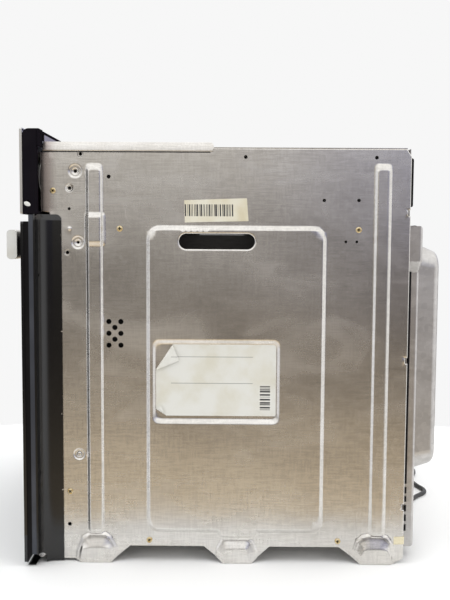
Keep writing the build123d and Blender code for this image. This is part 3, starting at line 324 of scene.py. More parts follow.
def laminated():
    """Stacked motor plates: dark lines across Y."""
    stack = Finish("motor", Metallic=0.6)
    at = stack.place
    plate = at.math("SINE", at.part("Y") * 4200.0)
    stack.vary(Base_Color=(plate * 0.5 + 0.5).blend((0.09, 0.09, 0.10), (0.24, 0.24, 0.25)),
               Roughness=0.45 + at.noise(50.0) * 0.2)
    return stack.bump(plate, 0.0001)


def paper(name, pattern, pale, stained):
    """Aged sticker paper: off-white with yellow stains, and a generic printed pattern."""
    sheet = Finish(name, Specular_IOR_Level=0.35)
    at = sheet.place
    stain = at.noise(26.0, 6.0)
    colour = stain.step(0.38, 0.72).blend(pale, stained)
    sheet.vary(Base_Color=pattern(at).blend(colour, (0.045, 0.042, 0.045)), Roughness=0.42 + stain * 0.2)
    return sheet.bump(at.noise(900.0, 4.0), 0.00004)


def bars(across, along, low, high, start, end, pitch):
    """Plain bars of uneven width across one axis, inside a rectangle."""
    level = across.node("TexNoise", {"noise_dimensions": "1D"}, {"W": across * pitch, "Detail": 0.0})
    return level.step(0.48, 0.52) * across.within(low, high, 0.0002) * along.within(start, end, 0.0002)


def tag_pattern(at):
    """A block of bars along the tag."""
    along = at.part("Y") + at.part("Z") * 0.028
    return bars(along, at.part("Z"), -0.042, 0.027, 0.4805, 0.4965, 110.0)


def label_pattern(at):
    """Two thin rules and a small block of bars at the rear end."""
    y, z = at.part("Y"), at.part("Z")
    rules = z.within(0.2885, 0.2890, 0.0002) + z.within(0.2520, 0.2525, 0.0002)
    rules = rules * y.within(-0.072, 0.040, 0.0005)
    return rules + bars(z, y, 0.214, 0.250, 0.050, 0.064, 90.0)


def tape_finish():
    """Creased masking tape."""
    tape = Finish("tape", Specular_IOR_Level=0.3)
    crepe = tape.place.stretched(1.0, 1.0, 3.0).noise(300.0, 4.0)
    tape.vary(Base_Color=crepe.blend((0.66, 0.58, 0.38), (0.78, 0.72, 0.54)), Roughness=0.55 + crepe * 0.2)
    return tape.bump(crepe, 0.0003)


finishes = {finish.name: finish.material for finish in (
    galvanised("galvanised", 0.17, (0.60, 0.575, 0.535), (0.74, 0.72, 0.68)),
    galvanised("dull_zinc", 0.30, (0.45, 0.435, 0.42), (0.56, 0.545, 0.53)),
    black_enamel(), muffle_enamel(), stainless(), handle_steel(), front_glass(), clear_glass(),
    mineral_wool(), passivated(), laminated(), tape_finish(),
    hazy("window", (40.0, 4.0), (0.006, 0.008, 0.008), (0.014, 0.017, 0.017), (0.03, 0.06),
         Specular_IOR_Level=0.6),
    hazy("bright_steel", (60.0, 5.0), (0.58, 0.58, 0.58), (0.76, 0.75, 0.73), (0.14, 0.2), Metallic=1.0),
    hazy("amber_lens", (300.0, 2.0), (0.62, 0.22, 0.03), (0.85, 0.38, 0.07), (0.1, 0.1),
         Transmission_Weight=0.4, IOR=1.49),
    hazy("print_ink", (500.0, 3.0), (0.02, 0.02, 0.02), (0.06, 0.06, 0.06), (0.4, 0.2)),
    hazy("door_frame_grey", (16.0, 6.0), (0.030, 0.034, 0.045), (0.065, 0.07, 0.085), (0.28, 0.14),
         (0.4, 0.75, 0.6), (400.0, 0.00003)),
    hazy("element", (28.0, 5.0), (0.055, 0.05, 0.045), (0.17, 0.13, 0.10), (0.5, 0.2), (0.3, 0.7, 1.0),
         (700.0, 0.00005), Metallic=0.35),
    moulded("black_plastic", (0.0034, 0.003, 0.0038), 0.34, 1300.0, (0.009, 0.008, 0.009), 0.14),
    moulded("matt_black", (0.009, 0.0075, 0.010), 0.6, 1300.0, (0.014, 0.012, 0.014), 0.0),
    moulded("seal", (0.03, 0.03, 0.031), 0.50, 900.0, (0.06, 0.058, 0.055)),
    moulded("cord_black", (0.013, 0.013, 0.014), 0.42, 700.0, (0.04, 0.039, 0.037)),
    moulded("white_plastic", (0.74, 0.73, 0.69), 0.30, 1500.0, (0.66, 0.63, 0.55)),
    paper("big_label", label_pattern, (0.76, 0.75, 0.70), (0.68, 0.65, 0.55)),
    paper("small_tag", tag_pattern, (0.76, 0.72, 0.60), (0.64, 0.57, 0.40)),
)}


# Mesh helpers
RIM_ANGLE = np.radians(55)


def grid(x, y, z, flip=False, closed=False):
    """A form, which is points and quads between neighbours, from a grid's coordinates, which broadcast."""
    points = np.stack(np.broadcast_arrays(x, y, z), axis=-1)
    rows, columns = points.shape[:2]
    row = np.arange(rows - 1)[:, None] * columns
    column = np.arange(columns if closed else columns - 1)
    after = (column + 1) % columns
    above = row + columns
    quads = np.stack((row + column, row + after, above + after, above + column), axis=-1).reshape(-1, 4)
    return points.reshape(-1, 3), quads[:, ::-1] if flip else quads


def stacked(forms):
    """Several forms as one."""
    starts = np.cumsum([0] + [len(points) for points, _ in forms])
    faces = [face for start, (_, group) in zip(starts, forms) for face in (group + start).tolist()]
    return np.concatenate([points for points, _ in forms]), faces


def both_sides(points, faces):
    """A form and its mirror image on the other side."""
    return [(points, faces), (points * (-1, 1, 1), faces[:, ::-1])]


def half_round(base, rise, across, line, points):
    """A half round carried along a line: out from the base by a sine, across a span by a cosine."""
    angle = np.linspace(0, np.pi, points)
    low, high = across
    return base + rise * np.sin(angle), (low + high) / 2 - (high - low) / 2 * np.cos(angle), line[:, None]


def turns(count):
    """Angles spread evenly round a circle."""
    return np.linspace(0, 2 * np.pi, count, endpoint=False)


def close_rings(mesh):
    """A flat face over each open ring of a mesh."""
    work = bmesh.new()
    work.from_mesh(mesh)
    bmesh.ops.holes_fill(work, edges=[edge for edge in work.edges if edge.is_boundary], sides=0)
    work.to_mesh(mesh)
    work.free()


def add_piece(name, forms, slot, body="casing", finish=None, node=None, thick=0.0, capped=False):
    """Forms as one piece, riding on a body. Thickness makes a sheet solid, inwards; caps close open rings."""
    points, faces = stacked(forms)
    mesh = bpy.data.meshes.new(name)
    mesh.from_pydata((points * MM).tolist(), [], faces, shade_flat=False)
    if capped:
        close_rings(mesh)
    piece = put(name, mesh)
    mesh.materials.append(finishes[finish or slot])
    if thick:
        wall = piece.modifiers.new("sheet", "SOLIDIFY")
        wall.thickness = thick * MM
        wall.offset = -1.0
        rim = piece.modifiers.new("sharp_rim", "EDGE_SPLIT")
        rim.split_angle = RIM_ANGLE
    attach(piece, body)
    if node:
        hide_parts(node)
    return piece


def turned(along, radius, start, way, angle):
    """A form about an axis that begins at start and runs along way, from distances along it and radii."""
    way = np.asarray(way, float)
    side = np.cross(way, (0.0, 0.0, 1.0) if abs(way[2]) < 0.9 else (1.0, 0.0, 0.0))
    ring = np.cos(angle)[:, None] * side + np.sin(angle)[:, None] * np.cross(way, side)
    points = np.asarray(start) + along[..., None] * way + radius[..., None] * ring
    return grid(*np.moveaxis(points, -1, 0), closed=True)


def lathe(profile, start, way, around):
    """A profile of (distance along, radius) turned in so many steps."""
    along, radius = np.array(profile, float).T[..., None]
    return turned(along, radius, start, way, turns(around))


# Side sheets: close to the solids' places
BODY_HALF, SHEET = 274.0, 1.0
TAB_FRONT, SIDE_REAR, SIDE_TOP = -248.5, 251.5, 572.0
NOTCHES = [(SIDE_REAR - inset, z + rise) for z in (76, 281, 482)
           for inset, rise in ((0, 0), (3, 0), (3, 8), (0, 8))]
SIDE_OUTLINE = np.array([
    (-237.5, 3), (-206, 3), (-197, 0), (-155, 0), (-129, 22), (-26, 22), (0, 0), (41, 0), (65, 22), (162, 22),
    (191, 0), (231.5, 0), (246, 3), (SIDE_REAR, 8), *NOTCHES, (SIDE_REAR, 562), (245, SIDE_TOP),
    (-237.5, SIDE_TOP), (-237.5, 566.5), (TAB_FRONT, 566.5), (TAB_FRONT, 484.5), (-237.5, 484.5),
], float)
RIB_RISE, FIELD_RISE, POCKET_DEPTH = 3.4, 3.8, 3.0
PRESSINGS = (
    ((-188.6, -164.4, 36, 551.4), (-182.6, -168.2, 46, 541.5), RIB_RISE, (6, 2.5)),
    ((201.8, 226.2, 34, 552.7), (206.8, 220.8, 44, 542.7), RIB_RISE, (6, 2.5)),
    ((-106.5, 139.5, 41, 468), (-100, 132.5, 48.5, 461.4), FIELD_RISE, (19, 12.5)),
)
RIB_BLOCK = ((-190.6, -160.6, 438.5, 485.5), (-184.2, -166.4, 446.3, 477.5), 2.5, (5, 1.5))
FIELD_TAB = ([(-16, 50), (-4, 33), (43, 33), (55, 50)], [(-8.5, 52), (1.5, 38.5), (37.5, 38.5), (47.5, 52)],
             FIELD_RISE)
POCKET = ((-98, 78, 195.6, 313.5), (-92, 72, 203.5, 305.7), POCKET_DEPTH, (10, 6))
SHOULDER_RISE, FACE_RISE = 2.5, 4.0
FEET = (
    ([(-207, -9), (-205.4, 16), (-196.3, 36.4), (-186, 42.4), (-162, 42.4), (-154.5, 36.8), (-147, 22),
      (-145, 12), (-145, -9)],
     [(-202, -9), (-200.5, 15), (-192.5, 32.5), (-184.5, 37.5), (-163.5, 37.5), (-158, 33), (-151.5, 21),
      (-150, 12), (-150, -9)],
     [(-198, -9), (-194.2, 19.7), (-159.3, 20), (-152, -9)]),
    ([(-12, -9), (-10.5, 17.8), (-3.6, 33), (1.9, 36.5), (35.7, 36.5), (43, 33), (49.8, 15.9), (51, -9)],
     [(-8, -9), (-6.5, 18), (0, 30.5), (4, 33), (33.5, 33), (39, 30), (45.5, 16), (47, -9)],
     [(-2, -9), (5.8, 19.3), (31.3, 19.6), (40, -9)]),
    ([(178, -9), (180.1, 19.5), (184.1, 32.3), (192.2, 40.3), (201.9, 43), (221.4, 42), (229.7, 40),
      (237, 30), (241.5, 13), (244, -9)],
     [(183, -9), (185, 18.5), (188.5, 29.5), (195, 36), (203, 38.5), (220, 38), (227, 36), (232.5, 28),
      (236.5, 12), (238, -9)],
     [(190, -9), (192.8, 12.4), (198.2, 19.6), (227.3, 19.9), (233, 11.4), (235, -9)]),
)
FOOT_BLEND = 2.0
FOOT_PADS = ((-196, -156), (1, 40), (192, 231))
PAD_XS = (248.0, 279.2)
DIMPLES = ((-194.8, 563.2, 4.7, 2.3), (-201.9, 540.3, 10, 2.3), (-209.8, 517.6, 6, 2.3),
           (-198.8, 444.3, 9.5, 1.8), (-213.3, 430.5, 4.5, 2.2), (-199.1, 151.8, 8.7, 2.2))
DIMPLE_DEPTH, DIMPLE_LAND = 2.0, 1.0
STEPPED_R, STEP_DEPTH, STEP_SLOPE, STEP_INNER, STEP_LAND = 7.0, 1.2, 0.3, 0.55, 0.4
BUMPS = ((-210.0, 462.7, 3.4, 1.0),)
HOLES = [(-210.2, 489.7, 2.0), (-156.6, 533.1, 2.7), (-213.1, 52.8, 2.7),
         (28.2, 560.1, 2.5), (204.3, 560.1, 2.5), (134.6, 502.6, 2.4), (181.4, 502.9, 2.4), (164.5, 447, 1.8),
         (179.3, 447.1, 1.8)]
HOLES += [(y, z, 3.6) for y in (-157.2, -140.8) for z in (336.5, 320.3, 304.0)]
HOLES += [(-149, 328.4, 3.6), (-149, 312.2, 3.6)]
GRIP_SLOT = (-10.0, 446.5, 102.0, 20.0)
SIDE_SCREWS = ((-232.2, 513.9), (-141.9, 463.1), (-212, 99.2), (181.7, 463.1), (-102, 31), (160, 31))
EDGE_R, SLOT_R = 1.4, 2.6
EDGE_RINGS, SLOT_RINGS = (0.2, 0.5, 0.9, 1.3, 1.8), (0.3, 0.75, 1.25, 1.8, 2.4, 3.0)
BEND = 0.22
WAVE_RISE, WAVES_FROM, FROM_RAMP, WAVES_TO, TO_RAMP = 0.16, 25.0, 60.0, 560.0, 30.0
FINE, COARSE, STEEP = 0.75, 8.0, 0.02
LEAST_APART, COARSE_CLEAR = 0.6 * FINE, 0.5 * FINE
FOOT_BANDS_Y, FOOT_BAND_Z = [(-208, -144), (-17, 56), (177, 245)], (0, 53)
EDGE_STEP, SLOT_STEP = 2.2, 2.0
RING_CLEAR, HOLE_CLEAR, DIMPLE_CLEAR = 0.6, 0.8, 1.2


def box_gap(y, z, box, corner):
    """Distance to a rounded rectangle, negative inside: from its straight sides, or its corner circles."""
    y0, y1, z0, z1 = box
    over_y = np.abs(y - (y0 + y1) / 2) - (y1 - y0) / 2 + corner
    over_z = np.abs(z - (z0 + z1) / 2) - (z1 - z0) / 2 + corner
    outside = np.hypot(np.maximum(over_y, 0), np.maximum(over_z, 0))
    return outside + np.minimum(np.maximum(over_y, over_z), 0) - corner


def polygon_gap(y, z, corners):
    """Distance to a polygon, negative inside: the least distance to an edge, signed by crossings."""
    corners = np.asarray(corners, float)
    ends = np.roll(corners, -1, axis=0)
    nearest = np.full(np.shape(y), np.inf)
    inside = np.zeros(np.shape(y), bool)
    for (y0, z0), (y1, z1) in zip(corners, ends):
        along, rise = y1 - y0, z1 - z0
        run = np.clip(((y - y0) * along + (z - z0) * rise) / (along**2 + rise**2), 0, 1)
        nearest = np.minimum(nearest, np.hypot(y - y0 - run * along, z - z0 - run * rise))
        inside ^= ((z0 > z) != (z1 > z)) & (y < y0 + (z - z0) * along / (rise or 1e-9))
    return np.where(inside, -nearest, nearest)


def eased(run):
    """A smooth S from 0 to 1."""
    run = np.clip(run, 0, 1)
    return run * run * (3 - 2 * run)


def flank(run):
    """The profile of a bent flank from 0 to 1: a straight slope, joined to each flat by a parabola."""
    run = np.clip(run, 0, 1)
    slope = 1 / (1 - BEND)
    foot = slope * run**2 / (2 * BEND)
    crown = 1 - slope * (1 - run) ** 2 / (2 * BEND)
    return np.where(run < BEND, foot, np.where(run > 1 - BEND, crown, slope * (run - BEND / 2)))


def pressed(base_gap, top_gap):
    """0 outside the base outline, 1 inside the top outline, a flank between by the share of the way."""
    start, rest = np.maximum(-base_gap, 0), np.maximum(top_gap, 0)
    return flank(start / np.maximum(start + rest, 1e-9))


def box_form(y, z, base, top, rise, corners):
    """The height of a pressing between two rounded rectangles."""
    return rise * pressed(box_gap(y, z, base, corners[0]), box_gap(y, z, top, corners[1]))


def rolled(distance, radius):
    """How far a rounded edge falls away, on a circle's arc that ends short of upright."""
    run = 0.95 * np.clip(radius - distance, 0, radius)
    return radius - np.sqrt(radius**2 - run**2)


def slot_gap(y, z):
    """Distance to the hand grip's slot, negative inside."""
    at_y, at_z, long, high = GRIP_SLOT
    box = (at_y - long / 2, at_y + long / 2, at_z - high / 2, at_z + high / 2)
    return box_gap(y, z, box, high / 2 - 0.01)


def merged(first, second, soft=1.2):
    """The higher of two heights, with a rounded valley where both stand up."""
    near = np.maximum(soft - np.abs(first - second), 0) ** 2 / (4 * soft)
    return np.maximum(first, second) + near * np.clip(np.minimum(first, second), 0, 1)


def side_height(y, z):
    """How far the sheet stands out, in mm: pressings, less pocket, dimples and rounded edges, and waves."""
    height = np.zeros(np.shape(y))
    for form in PRESSINGS:
        height = merged(height, box_form(y, z, *form))
    height += box_form(y, z, *RIB_BLOCK)
    base, top, rise = FIELD_TAB
    height = np.maximum(height, rise * pressed(polygon_gap(y, z, base), polygon_gap(y, z, top)))
    for outlines in FEET:
        base, shoulder, face = (polygon_gap(y, z, outline) for outline in outlines)
        foot = SHOULDER_RISE * pressed(base, shoulder) + FACE_RISE * pressed(shoulder, face)
        height = merged(height, foot, FOOT_BLEND)
    height -= box_form(y, z, *POCKET)
    for at_y, at_z, radius, hole in DIMPLES:
        reach = np.hypot(y - at_y, z - at_z)
        if radius < STEPPED_R:
            height -= DIMPLE_DEPTH * eased((radius - reach) / (radius - hole - DIMPLE_LAND))
        else:
            inner = STEP_INNER * radius
            outer_step = eased((radius - reach) / (STEP_SLOPE * radius))
            height -= STEP_DEPTH * (outer_step + eased((inner - reach) / (inner - hole - STEP_LAND)))
    for at_y, at_z, radius, rise in BUMPS:
        height += rise * eased((radius - np.hypot(y - at_y, z - at_z)) / radius)
    height -= rolled(np.maximum(-polygon_gap(y, z, SIDE_OUTLINE), 0), EDGE_R)
    height -= rolled(np.maximum(slot_gap(y, z), 0), SLOT_R)
    return height + sheet_waves(y, z)


def sheet_waves(y, z):
    """Slight waves of the flat sheet, products of slow sines, which die out at its foot and top."""
    calm = np.clip((z - WAVES_FROM) / FROM_RAMP, 0, 1) * np.clip((WAVES_TO - z) / TO_RAMP, 0, 1)
    long = np.sin(y / 61 + 0.7) * np.sin(z / 83 + 1.1)
    short = np.sin(y / 37 + z / 53) * np.cos(z / 29 - y / 91)
    return WAVE_RISE * (long + 0.6 * short) * calm


def grid_lines(bands, low, high):
    """Lines across a stretch, and which of them are the coarse ones. Fine lines fill the bands."""
    coarse = np.arange(low + COARSE / 2, high, COARSE)
    fine = [np.linspace(start, end, int(np.ceil(abs(end - start) / FINE)) + 1) for start, end in bands]
    fine = np.sort(np.concatenate(fine))
    fine = fine[np.concatenate(([True], np.diff(fine) > LEAST_APART))]
    fine = fine[np.abs(fine[:, None] - coarse).min(axis=1) > COARSE_CLEAR]
    lines = np.concatenate((coarse, fine))
    order = np.argsort(lines)
    return lines[order], order < len(coarse)


def divided(loop, step):
    """A closed outline cut into short runs of equal length on each side."""
    parts = []
    for start, end in zip(loop, np.roll(loop, -1, axis=0)):
        count = max(1, int(np.ceil(np.linalg.norm(end - start) / step)))
        parts.append(start + (end - start) * (np.arange(count) / count)[:, None])
    return np.concatenate(parts)


def circle(y, z, radius, count=24):
    """Points round a circle."""
    angle = turns(count)
    return np.stack((y + radius * np.cos(angle), z + radius * np.sin(angle)), axis=-1)


def stadium(y, z, long, high):
    """A slot's outline: two half circles joined by straight runs."""
    angle = np.linspace(-np.pi / 2, np.pi / 2, 17)
    reach, radius = (long - high) / 2, high / 2
    half = np.stack((reach + radius * np.cos(angle), radius * np.sin(angle)), axis=-1)
    return np.concatenate((half, -half)) + (y, z)


def inset_points(loop, depth):
    """Points that lie this deep inside the sheet's outline, opposite the middle of each short run."""
    ends = np.roll(loop, -1, axis=0)
    along = (ends - loop) / np.linalg.norm(ends - loop, axis=1)[:, None]
    points = (loop + ends) / 2 + depth * np.column_stack((-along[:, 1], along[:, 0]))
    return points[np.abs(polygon_gap(*points.T, SIDE_OUTLINE) + depth) < 0.2]


def sloping(y, z):
    """Which points of a grid stand clearly higher or lower than a neighbour, and the points next to them."""
    height = side_height(y, z) - sheet_waves(y, z)
    steep = np.zeros(height.shape, bool)
    for axis, place in ((0, z), (1, y)):
        rise = np.abs(np.diff(height, axis=axis)) > STEEP * np.diff(place, axis=axis)
        for pad in ((1, 0), (0, 1)):
            steep |= np.pad(rise, [pad if side == axis else (0, 0) for side in (0, 1)])
    wide = np.pad(steep, 1)
    return steep | wide[:-2, 1:-1] | wide[2:, 1:-1] | wide[1:-1, :-2] | wide[1:-1, 2:]


def side_net():
    """The sheet's flat net: a coarse grid, finer on slopes, and rings round holes and along edges, joined by
    a Delaunay triangulation that keeps the outline and leaves the holes open."""
    boxes = [form[:2] for form in (*PRESSINGS, RIB_BLOCK, POCKET)]
    bands = [sorted((base[side], top[side])) for base, top in boxes for side in range(4)]
    bands = [(start - 2 * FINE, end + 2 * FINE) for start, end in bands]
    y_lines, y_coarse = grid_lines(bands[0::4] + bands[1::4] + FOOT_BANDS_Y, TAB_FRONT, SIDE_REAR)
    z_lines, z_coarse = grid_lines(bands[2::4] + bands[3::4] + [FOOT_BAND_Z], 0.0, SIDE_TOP)
    y, z = np.meshgrid(y_lines, z_lines)
    clear = sloping(y, z) | (y_coarse[None, :] & z_coarse[:, None])
    clear = (clear & (polygon_gap(y, z, SIDE_OUTLINE) < -EDGE_RINGS[-1] - RING_CLEAR)).ravel()
    y, z = y.ravel(), z.ravel()
    edge = divided(SIDE_OUTLINE, EDGE_STEP)
    loops = [edge, divided(stadium(*GRIP_SLOT), SLOT_STEP)]
    rings = [inset_points(edge, depth) for depth in EDGE_RINGS]
    at_y, at_z, long, high = GRIP_SLOT
    rings += [divided(stadium(at_y, at_z, long + 2 * out, high + 2 * out), SLOT_STEP) for out in SLOT_RINGS]
    clear &= slot_gap(y, z) > SLOT_RINGS[-1] + RING_CLEAR
    for at_y, at_z, radius in HOLES:
        loops.append(circle(at_y, at_z, radius))
        clear &= np.hypot(y - at_y, z - at_z) > radius + HOLE_CLEAR
    for at_y, at_z, radius, hole in DIMPLES:
        loops.append(circle(at_y, at_z, hole))
        clear &= np.hypot(y - at_y, z - at_z) > radius + DIMPLE_CLEAR
        rings += [circle(at_y, at_z, reach, 40) for reach in np.linspace(hole + 0.5, radius + 0.6, 14)]
    for at_y, at_z, radius, _ in BUMPS:
        clear &= np.hypot(y - at_y, z - at_z) > radius + RING_CLEAR
        rings += [circle(at_y, at_z, reach) for reach in np.linspace(0.3, radius, 6)]
    edges, start = [], 0
    for loop in loops:
        edges += [(start + index, start + (index + 1) % len(loop)) for index in range(len(loop))]
        start += len(loop)
    flat = np.concatenate([*loops, np.stack((y[clear], z[clear]), axis=-1), *rings])
    joined = delaunay_2d_cdt([Vector(point) for point in flat.tolist()], edges, [], 0, 1e-4, False)
    flat, faces = np.array([tuple(point) for point in joined[0]]), np.array(joined[2])
    y, z = flat[faces].mean(axis=1).T
    solid = (polygon_gap(y, z, SIDE_OUTLINE) < 0) & (slot_gap(y, z) > 0)
    for at_y, at_z, radius in HOLES + [(y0, z0, hole) for y0, z0, _, hole in DIMPLES]:
        solid &= np.hypot(y - at_y, z - at_z) > radius * 0.99
    return flat, faces[solid]


def foot_pads():
    """The inward flanges under the feet."""
    return [grid(np.linspace(*PAD_XS, 7), np.linspace(*span, 9)[:, None], 0.0, flip=True)
            for span in FOOT_PADS]


def side_sheets():
    """Both pressed sides, the left one a mirror image."""
    flat, faces = side_net()
    skin = np.column_stack((BODY_HALF + side_height(*flat.T), flat))
    sides = zip(*(both_sides(*form) for form in [(skin, faces)] + foot_pads()))
    for name, forms in zip(("side_panel_right", "side_panel_left"), sides):
        add_piece(name.replace("panel", "sheet"), forms, "galvanised", node=name, thick=SHEET)


# Screws
SCREW_R, SCREW_HIGH, SCREW_FALL, SCREW_POINTS = 4.0, 2.0, 0.72, 48
CROSS_HALF, CROSS_SOFT, CROSS_LONG, CROSS_END, CROSS_DEEP = 0.75, 0.3, 2.5, 0.7, 1.3
BACK_TAB_X, BACK_TAB_Y, BACK_TABS = 258.0, 251.5, (60.0, 230.0, 370.0)
RIVET = ((-1.2, 3.2), (-0.5, 3.0), (0.0, 2.3), (0.2, 1.2), (0.15, 0.5), (0, 0.01))
RIVET_SINK, SCREW_LIFT, SIDE_TURN, TAB_TURN = 0.6, 0.1, 0.7, 0.9


def screw_head(start, way, turn):
    """A pan head with a cross recess: a dome over the radius, cut by two tapered grooves at right angles."""
    share = np.concatenate((np.linspace(0.02, 0.62, 12), np.linspace(0.70, 1.0, 8), (1.0,)))
    reach = share[:, None] * SCREW_R
    angle = turns(SCREW_POINTS)
    across = np.minimum(np.abs(reach * np.sin(angle)), np.abs(reach * np.cos(angle)))
    groove = eased((CROSS_HALF - across) / CROSS_SOFT) * eased((CROSS_LONG - reach) / CROSS_END)
    dome = SCREW_HIGH * np.sqrt(np.clip(1 - (reach / SCREW_R) ** 4 * SCREW_FALL, 0, 1)) - CROSS_DEEP * groove
    dome[-1] = 0.0
    points, faces = turned(dome, reach, start, way, angle + turn)
    return points, faces[:, ::-1], groove.ravel()


def screws():
    """Brassy heads on the sides and the back cover's tabs, with painted shade in the recesses, and low bright
    rivets.
    """
    y, z = DIMPLES[-1][:2]
    heads, rivets = [], []
    for mirror in (1, -1):
        out = (mirror, 0, 0)
        for index, place in enumerate(SIDE_SCREWS):
            start = (mirror * (BODY_HALF + SCREW_LIFT), *place)
            heads.append(screw_head(start, out, SIDE_TURN * index + mirror))
        for index, high in enumerate(BACK_TABS):
            heads.append(screw_head((mirror * BACK_TAB_X, BACK_TAB_Y, high), (0, 1, 0), TAB_TURN * index))
        rivets.append(lathe(RIVET, (mirror * (BODY_HALF - RIVET_SINK), y, z), out, 24))
    forms = [head[:2] for head in heads]
    piece = add_piece("screw_heads", forms, "brass_screw", node="panel_screws", capped=True)
    # Marks the cross recess for its near-black painted shade.
    recess_shade = piece.data.attributes.new("groove", "FLOAT", "POINT")
    recess_shade.data.foreach_set("value", np.concatenate([head[2] for head in heads]))
    add_piece("dimple_rivets", rivets, "bright_steel", capped=True)


# Stickers
PAPER, PAPER_WAVE, PAPER_LIFT = 0.12, 0.05, 0.15
LABEL_BOX = (-94.0, 72.0, 207.0, 306.0)
LABEL_X = BODY_HALF + FIELD_RISE - POCKET_DEPTH + PAPER_LIFT
FOLD_AT, FOLD_WAY = np.array((-70.0, 306.0)), np.array((-36.0, 24.0)) / np.hypot(24.0, 36.0)
TUCK_WAY = np.array((9.5, 15.0)) / np.hypot(9.5, 15.0)
TUCK_AT = np.array((-94.0, 216.5)) @ TUCK_WAY
FOLD, TUCK = (1.5, 2.0, 0.9, 20.0), (1.2, 1.5, 0.5, 8.0)
TAG_CORNERS = np.array(((-54.5, 502.0), (30.2, 505.0), (32.6, 474.3), (-53.7, 472.0)))
TAG_LIFT, TAG_CURL, CURL_ALONG, CURL_UP = 0.22, 0.6, 0.07, 0.3


def folded(y, z, lift, past, way, shape):
    """Paper bent over a line: what lies past it is mirrored back along way, raised, and bulged by a sine."""
    rise, soft, bulge, reach = shape
    over = np.maximum(past, 0)
    lift = lift + rise * eased(over / soft) + bulge * np.sin(np.clip(over / reach, 0, 1) * np.pi)
    return y - 2 * over * way[0], z - 2 * over * way[1], lift


def big_label():
    """Paper in the pocket: a top corner and the corner below it are each folded over a line."""
    y0, y1, z0, z1 = LABEL_BOX
    y, z = np.meshgrid(np.linspace(y0, y1, 111), np.linspace(z0, z1, 67))
    lift = LABEL_X + sheet_waves(y, z) + PAPER_WAVE * np.sin(y / 19) * np.sin(z / 13)
    past = (y - FOLD_AT[0]) * FOLD_WAY[0] + (z - FOLD_AT[1]) * FOLD_WAY[1]
    y, z, lift = folded(y, z, lift, past, FOLD_WAY, FOLD)
    lower = (TUCK_AT - (y * TUCK_WAY[0] + z * TUCK_WAY[1])) * (past <= 0)
    y, z, lift = folded(y, z, lift, lower, -TUCK_WAY, TUCK)
    add_piece("pocket_label", [grid(lift, y, z)], "white_plastic", finish="big_label", thick=PAPER)


def bar_tag():
    """The small tag above the field, a bilinear patch between its four corners, with one corner lifted."""
    u, v = np.meshgrid(np.linspace(0, 1, 41), np.linspace(0, 1, 17))
    first, second, third, last = TAG_CORNERS[..., None, None]
    top, foot = first + u * (second - first), last + u * (third - last)
    y, z = foot + v * (top - foot)
    curl = TAG_CURL * eased((u - 1 + CURL_ALONG) / CURL_ALONG) * eased((CURL_UP - v) / CURL_UP)
    lift = BODY_HALF + side_height(y, z) + TAG_LIFT + curl
    add_piece("bar_tag", [grid(lift, y, z)], "white_plastic", finish="small_tag", thick=PAPER)


# Small pieces
HEM_Y, HEM_Z, HEM_ROUND, HEM_THICK = (-244.5, -14.8), (566.8, 574.4), 4.5, 0.6
HEM_PROFILE = np.array(((275.0, 0.0), (276.1, 0.02), (276.6, 0.08), (276.55, 0.2), (276.2, 0.5),
                        (275.8, 0.8), (275.4, 1.0)))
HEM_RUN = np.linspace(HEM_Y[0], HEM_Y[1] - HEM_ROUND, 60)
# A dark strip that paints the shadow under each hem.
SHADE_STRIP_X, SHADE_STRIP_RISE, SHADE_STRIP_Z, SHADE_STRIP_THICK = 275.15, 0.55, (565.6, 566.9), 0.2


def cover_hems():
    """The bright edge under each side of the front cover: a leaning profile carried along Y, whose foot
    follows a quarter circle up at the rear end."""
    y = np.concatenate((HEM_RUN, HEM_RUN[-1] + HEM_ROUND * np.sin(np.linspace(0.1, 1.5, 12))))[:, None]
    past = np.maximum(y - HEM_RUN[-1], 0)
    foot = HEM_Z[0] + HEM_ROUND - np.sqrt(HEM_ROUND**2 - past**2)
    x, share = HEM_PROFILE.T
    hem = grid(x, y, foot + (HEM_Z[1] - foot) * share, flip=True)
    add_piece("cover_hems", both_sides(*hem), "galvanised", thick=HEM_THICK)


def hem_shade_strips():
    """A painted shadow under each hem: a dark low half round carried along Y, where the hem's shade falls."""
    x, z, y = half_round(SHADE_STRIP_X, SHADE_STRIP_RISE, SHADE_STRIP_Z, HEM_RUN, 7)
    shade_strip = grid(x, y, z, flip=True)
    add_piece("hem_shade_strips", both_sides(*shade_strip), "seal", thick=SHADE_STRIP_THICK)


TAB_PATH = np.array(((295.7, -250.5), (295.7, -248.0), (295.6, -246.6), (295.2, -245.9), (294.4, -245.6),
                     (285.0, -245.6), (272.0, -245.6)))
TAB_Z = np.array((571.2, 571.6, 573.0, 580.0, 587.0, 593.0, 594.4))
TAB_TUCK = np.array((1.0, 0.3, 0.0, 0.0, 0.0, 0.0, 0.4))
TAB_THICK = 1.2


def carrier_tabs():
    """Black tabs that close the carrier's ends behind: a bent path carried up, tucked in at foot and top."""
    tab = grid(TAB_PATH[:, 0] - TAB_TUCK[:, None], TAB_PATH[:, 1], TAB_Z[:, None])
    add_piece("carrier_tabs", both_sides(*tab), "black_plastic", finish="matt_black", thick=TAB_THICK)


CLIP_AT, CLIP_LEAN = (296.9, -261.5, 495.0), np.radians(-24)
CLIP_LONG, CLIP_WIDE, CLIP_SINK, CLIP_RISE = 5.2, 3.0, 0.6, 1.1


def end_clips():
    """A domed oval clip in each end of the fascia: rings of an ellipse that rise to its middle."""
    reach, angle = np.linspace(0.02, 1, 9)[:, None], turns(32)
    long, wide = CLIP_LONG * reach * np.cos(angle), CLIP_WIDE * reach * np.sin(angle)
    x, y, z = CLIP_AT
    x = x - CLIP_SINK + CLIP_RISE * np.sqrt(1 - 0.98 * reach**2)
    y = y + long * np.cos(CLIP_LEAN) - wide * np.sin(CLIP_LEAN)
    z = z + long * np.sin(CLIP_LEAN) + wide * np.cos(CLIP_LEAN)
    clip = grid(x, y, z, flip=True, closed=True)
    add_piece("end_clips", both_sides(*clip), "white_plastic", capped=True)


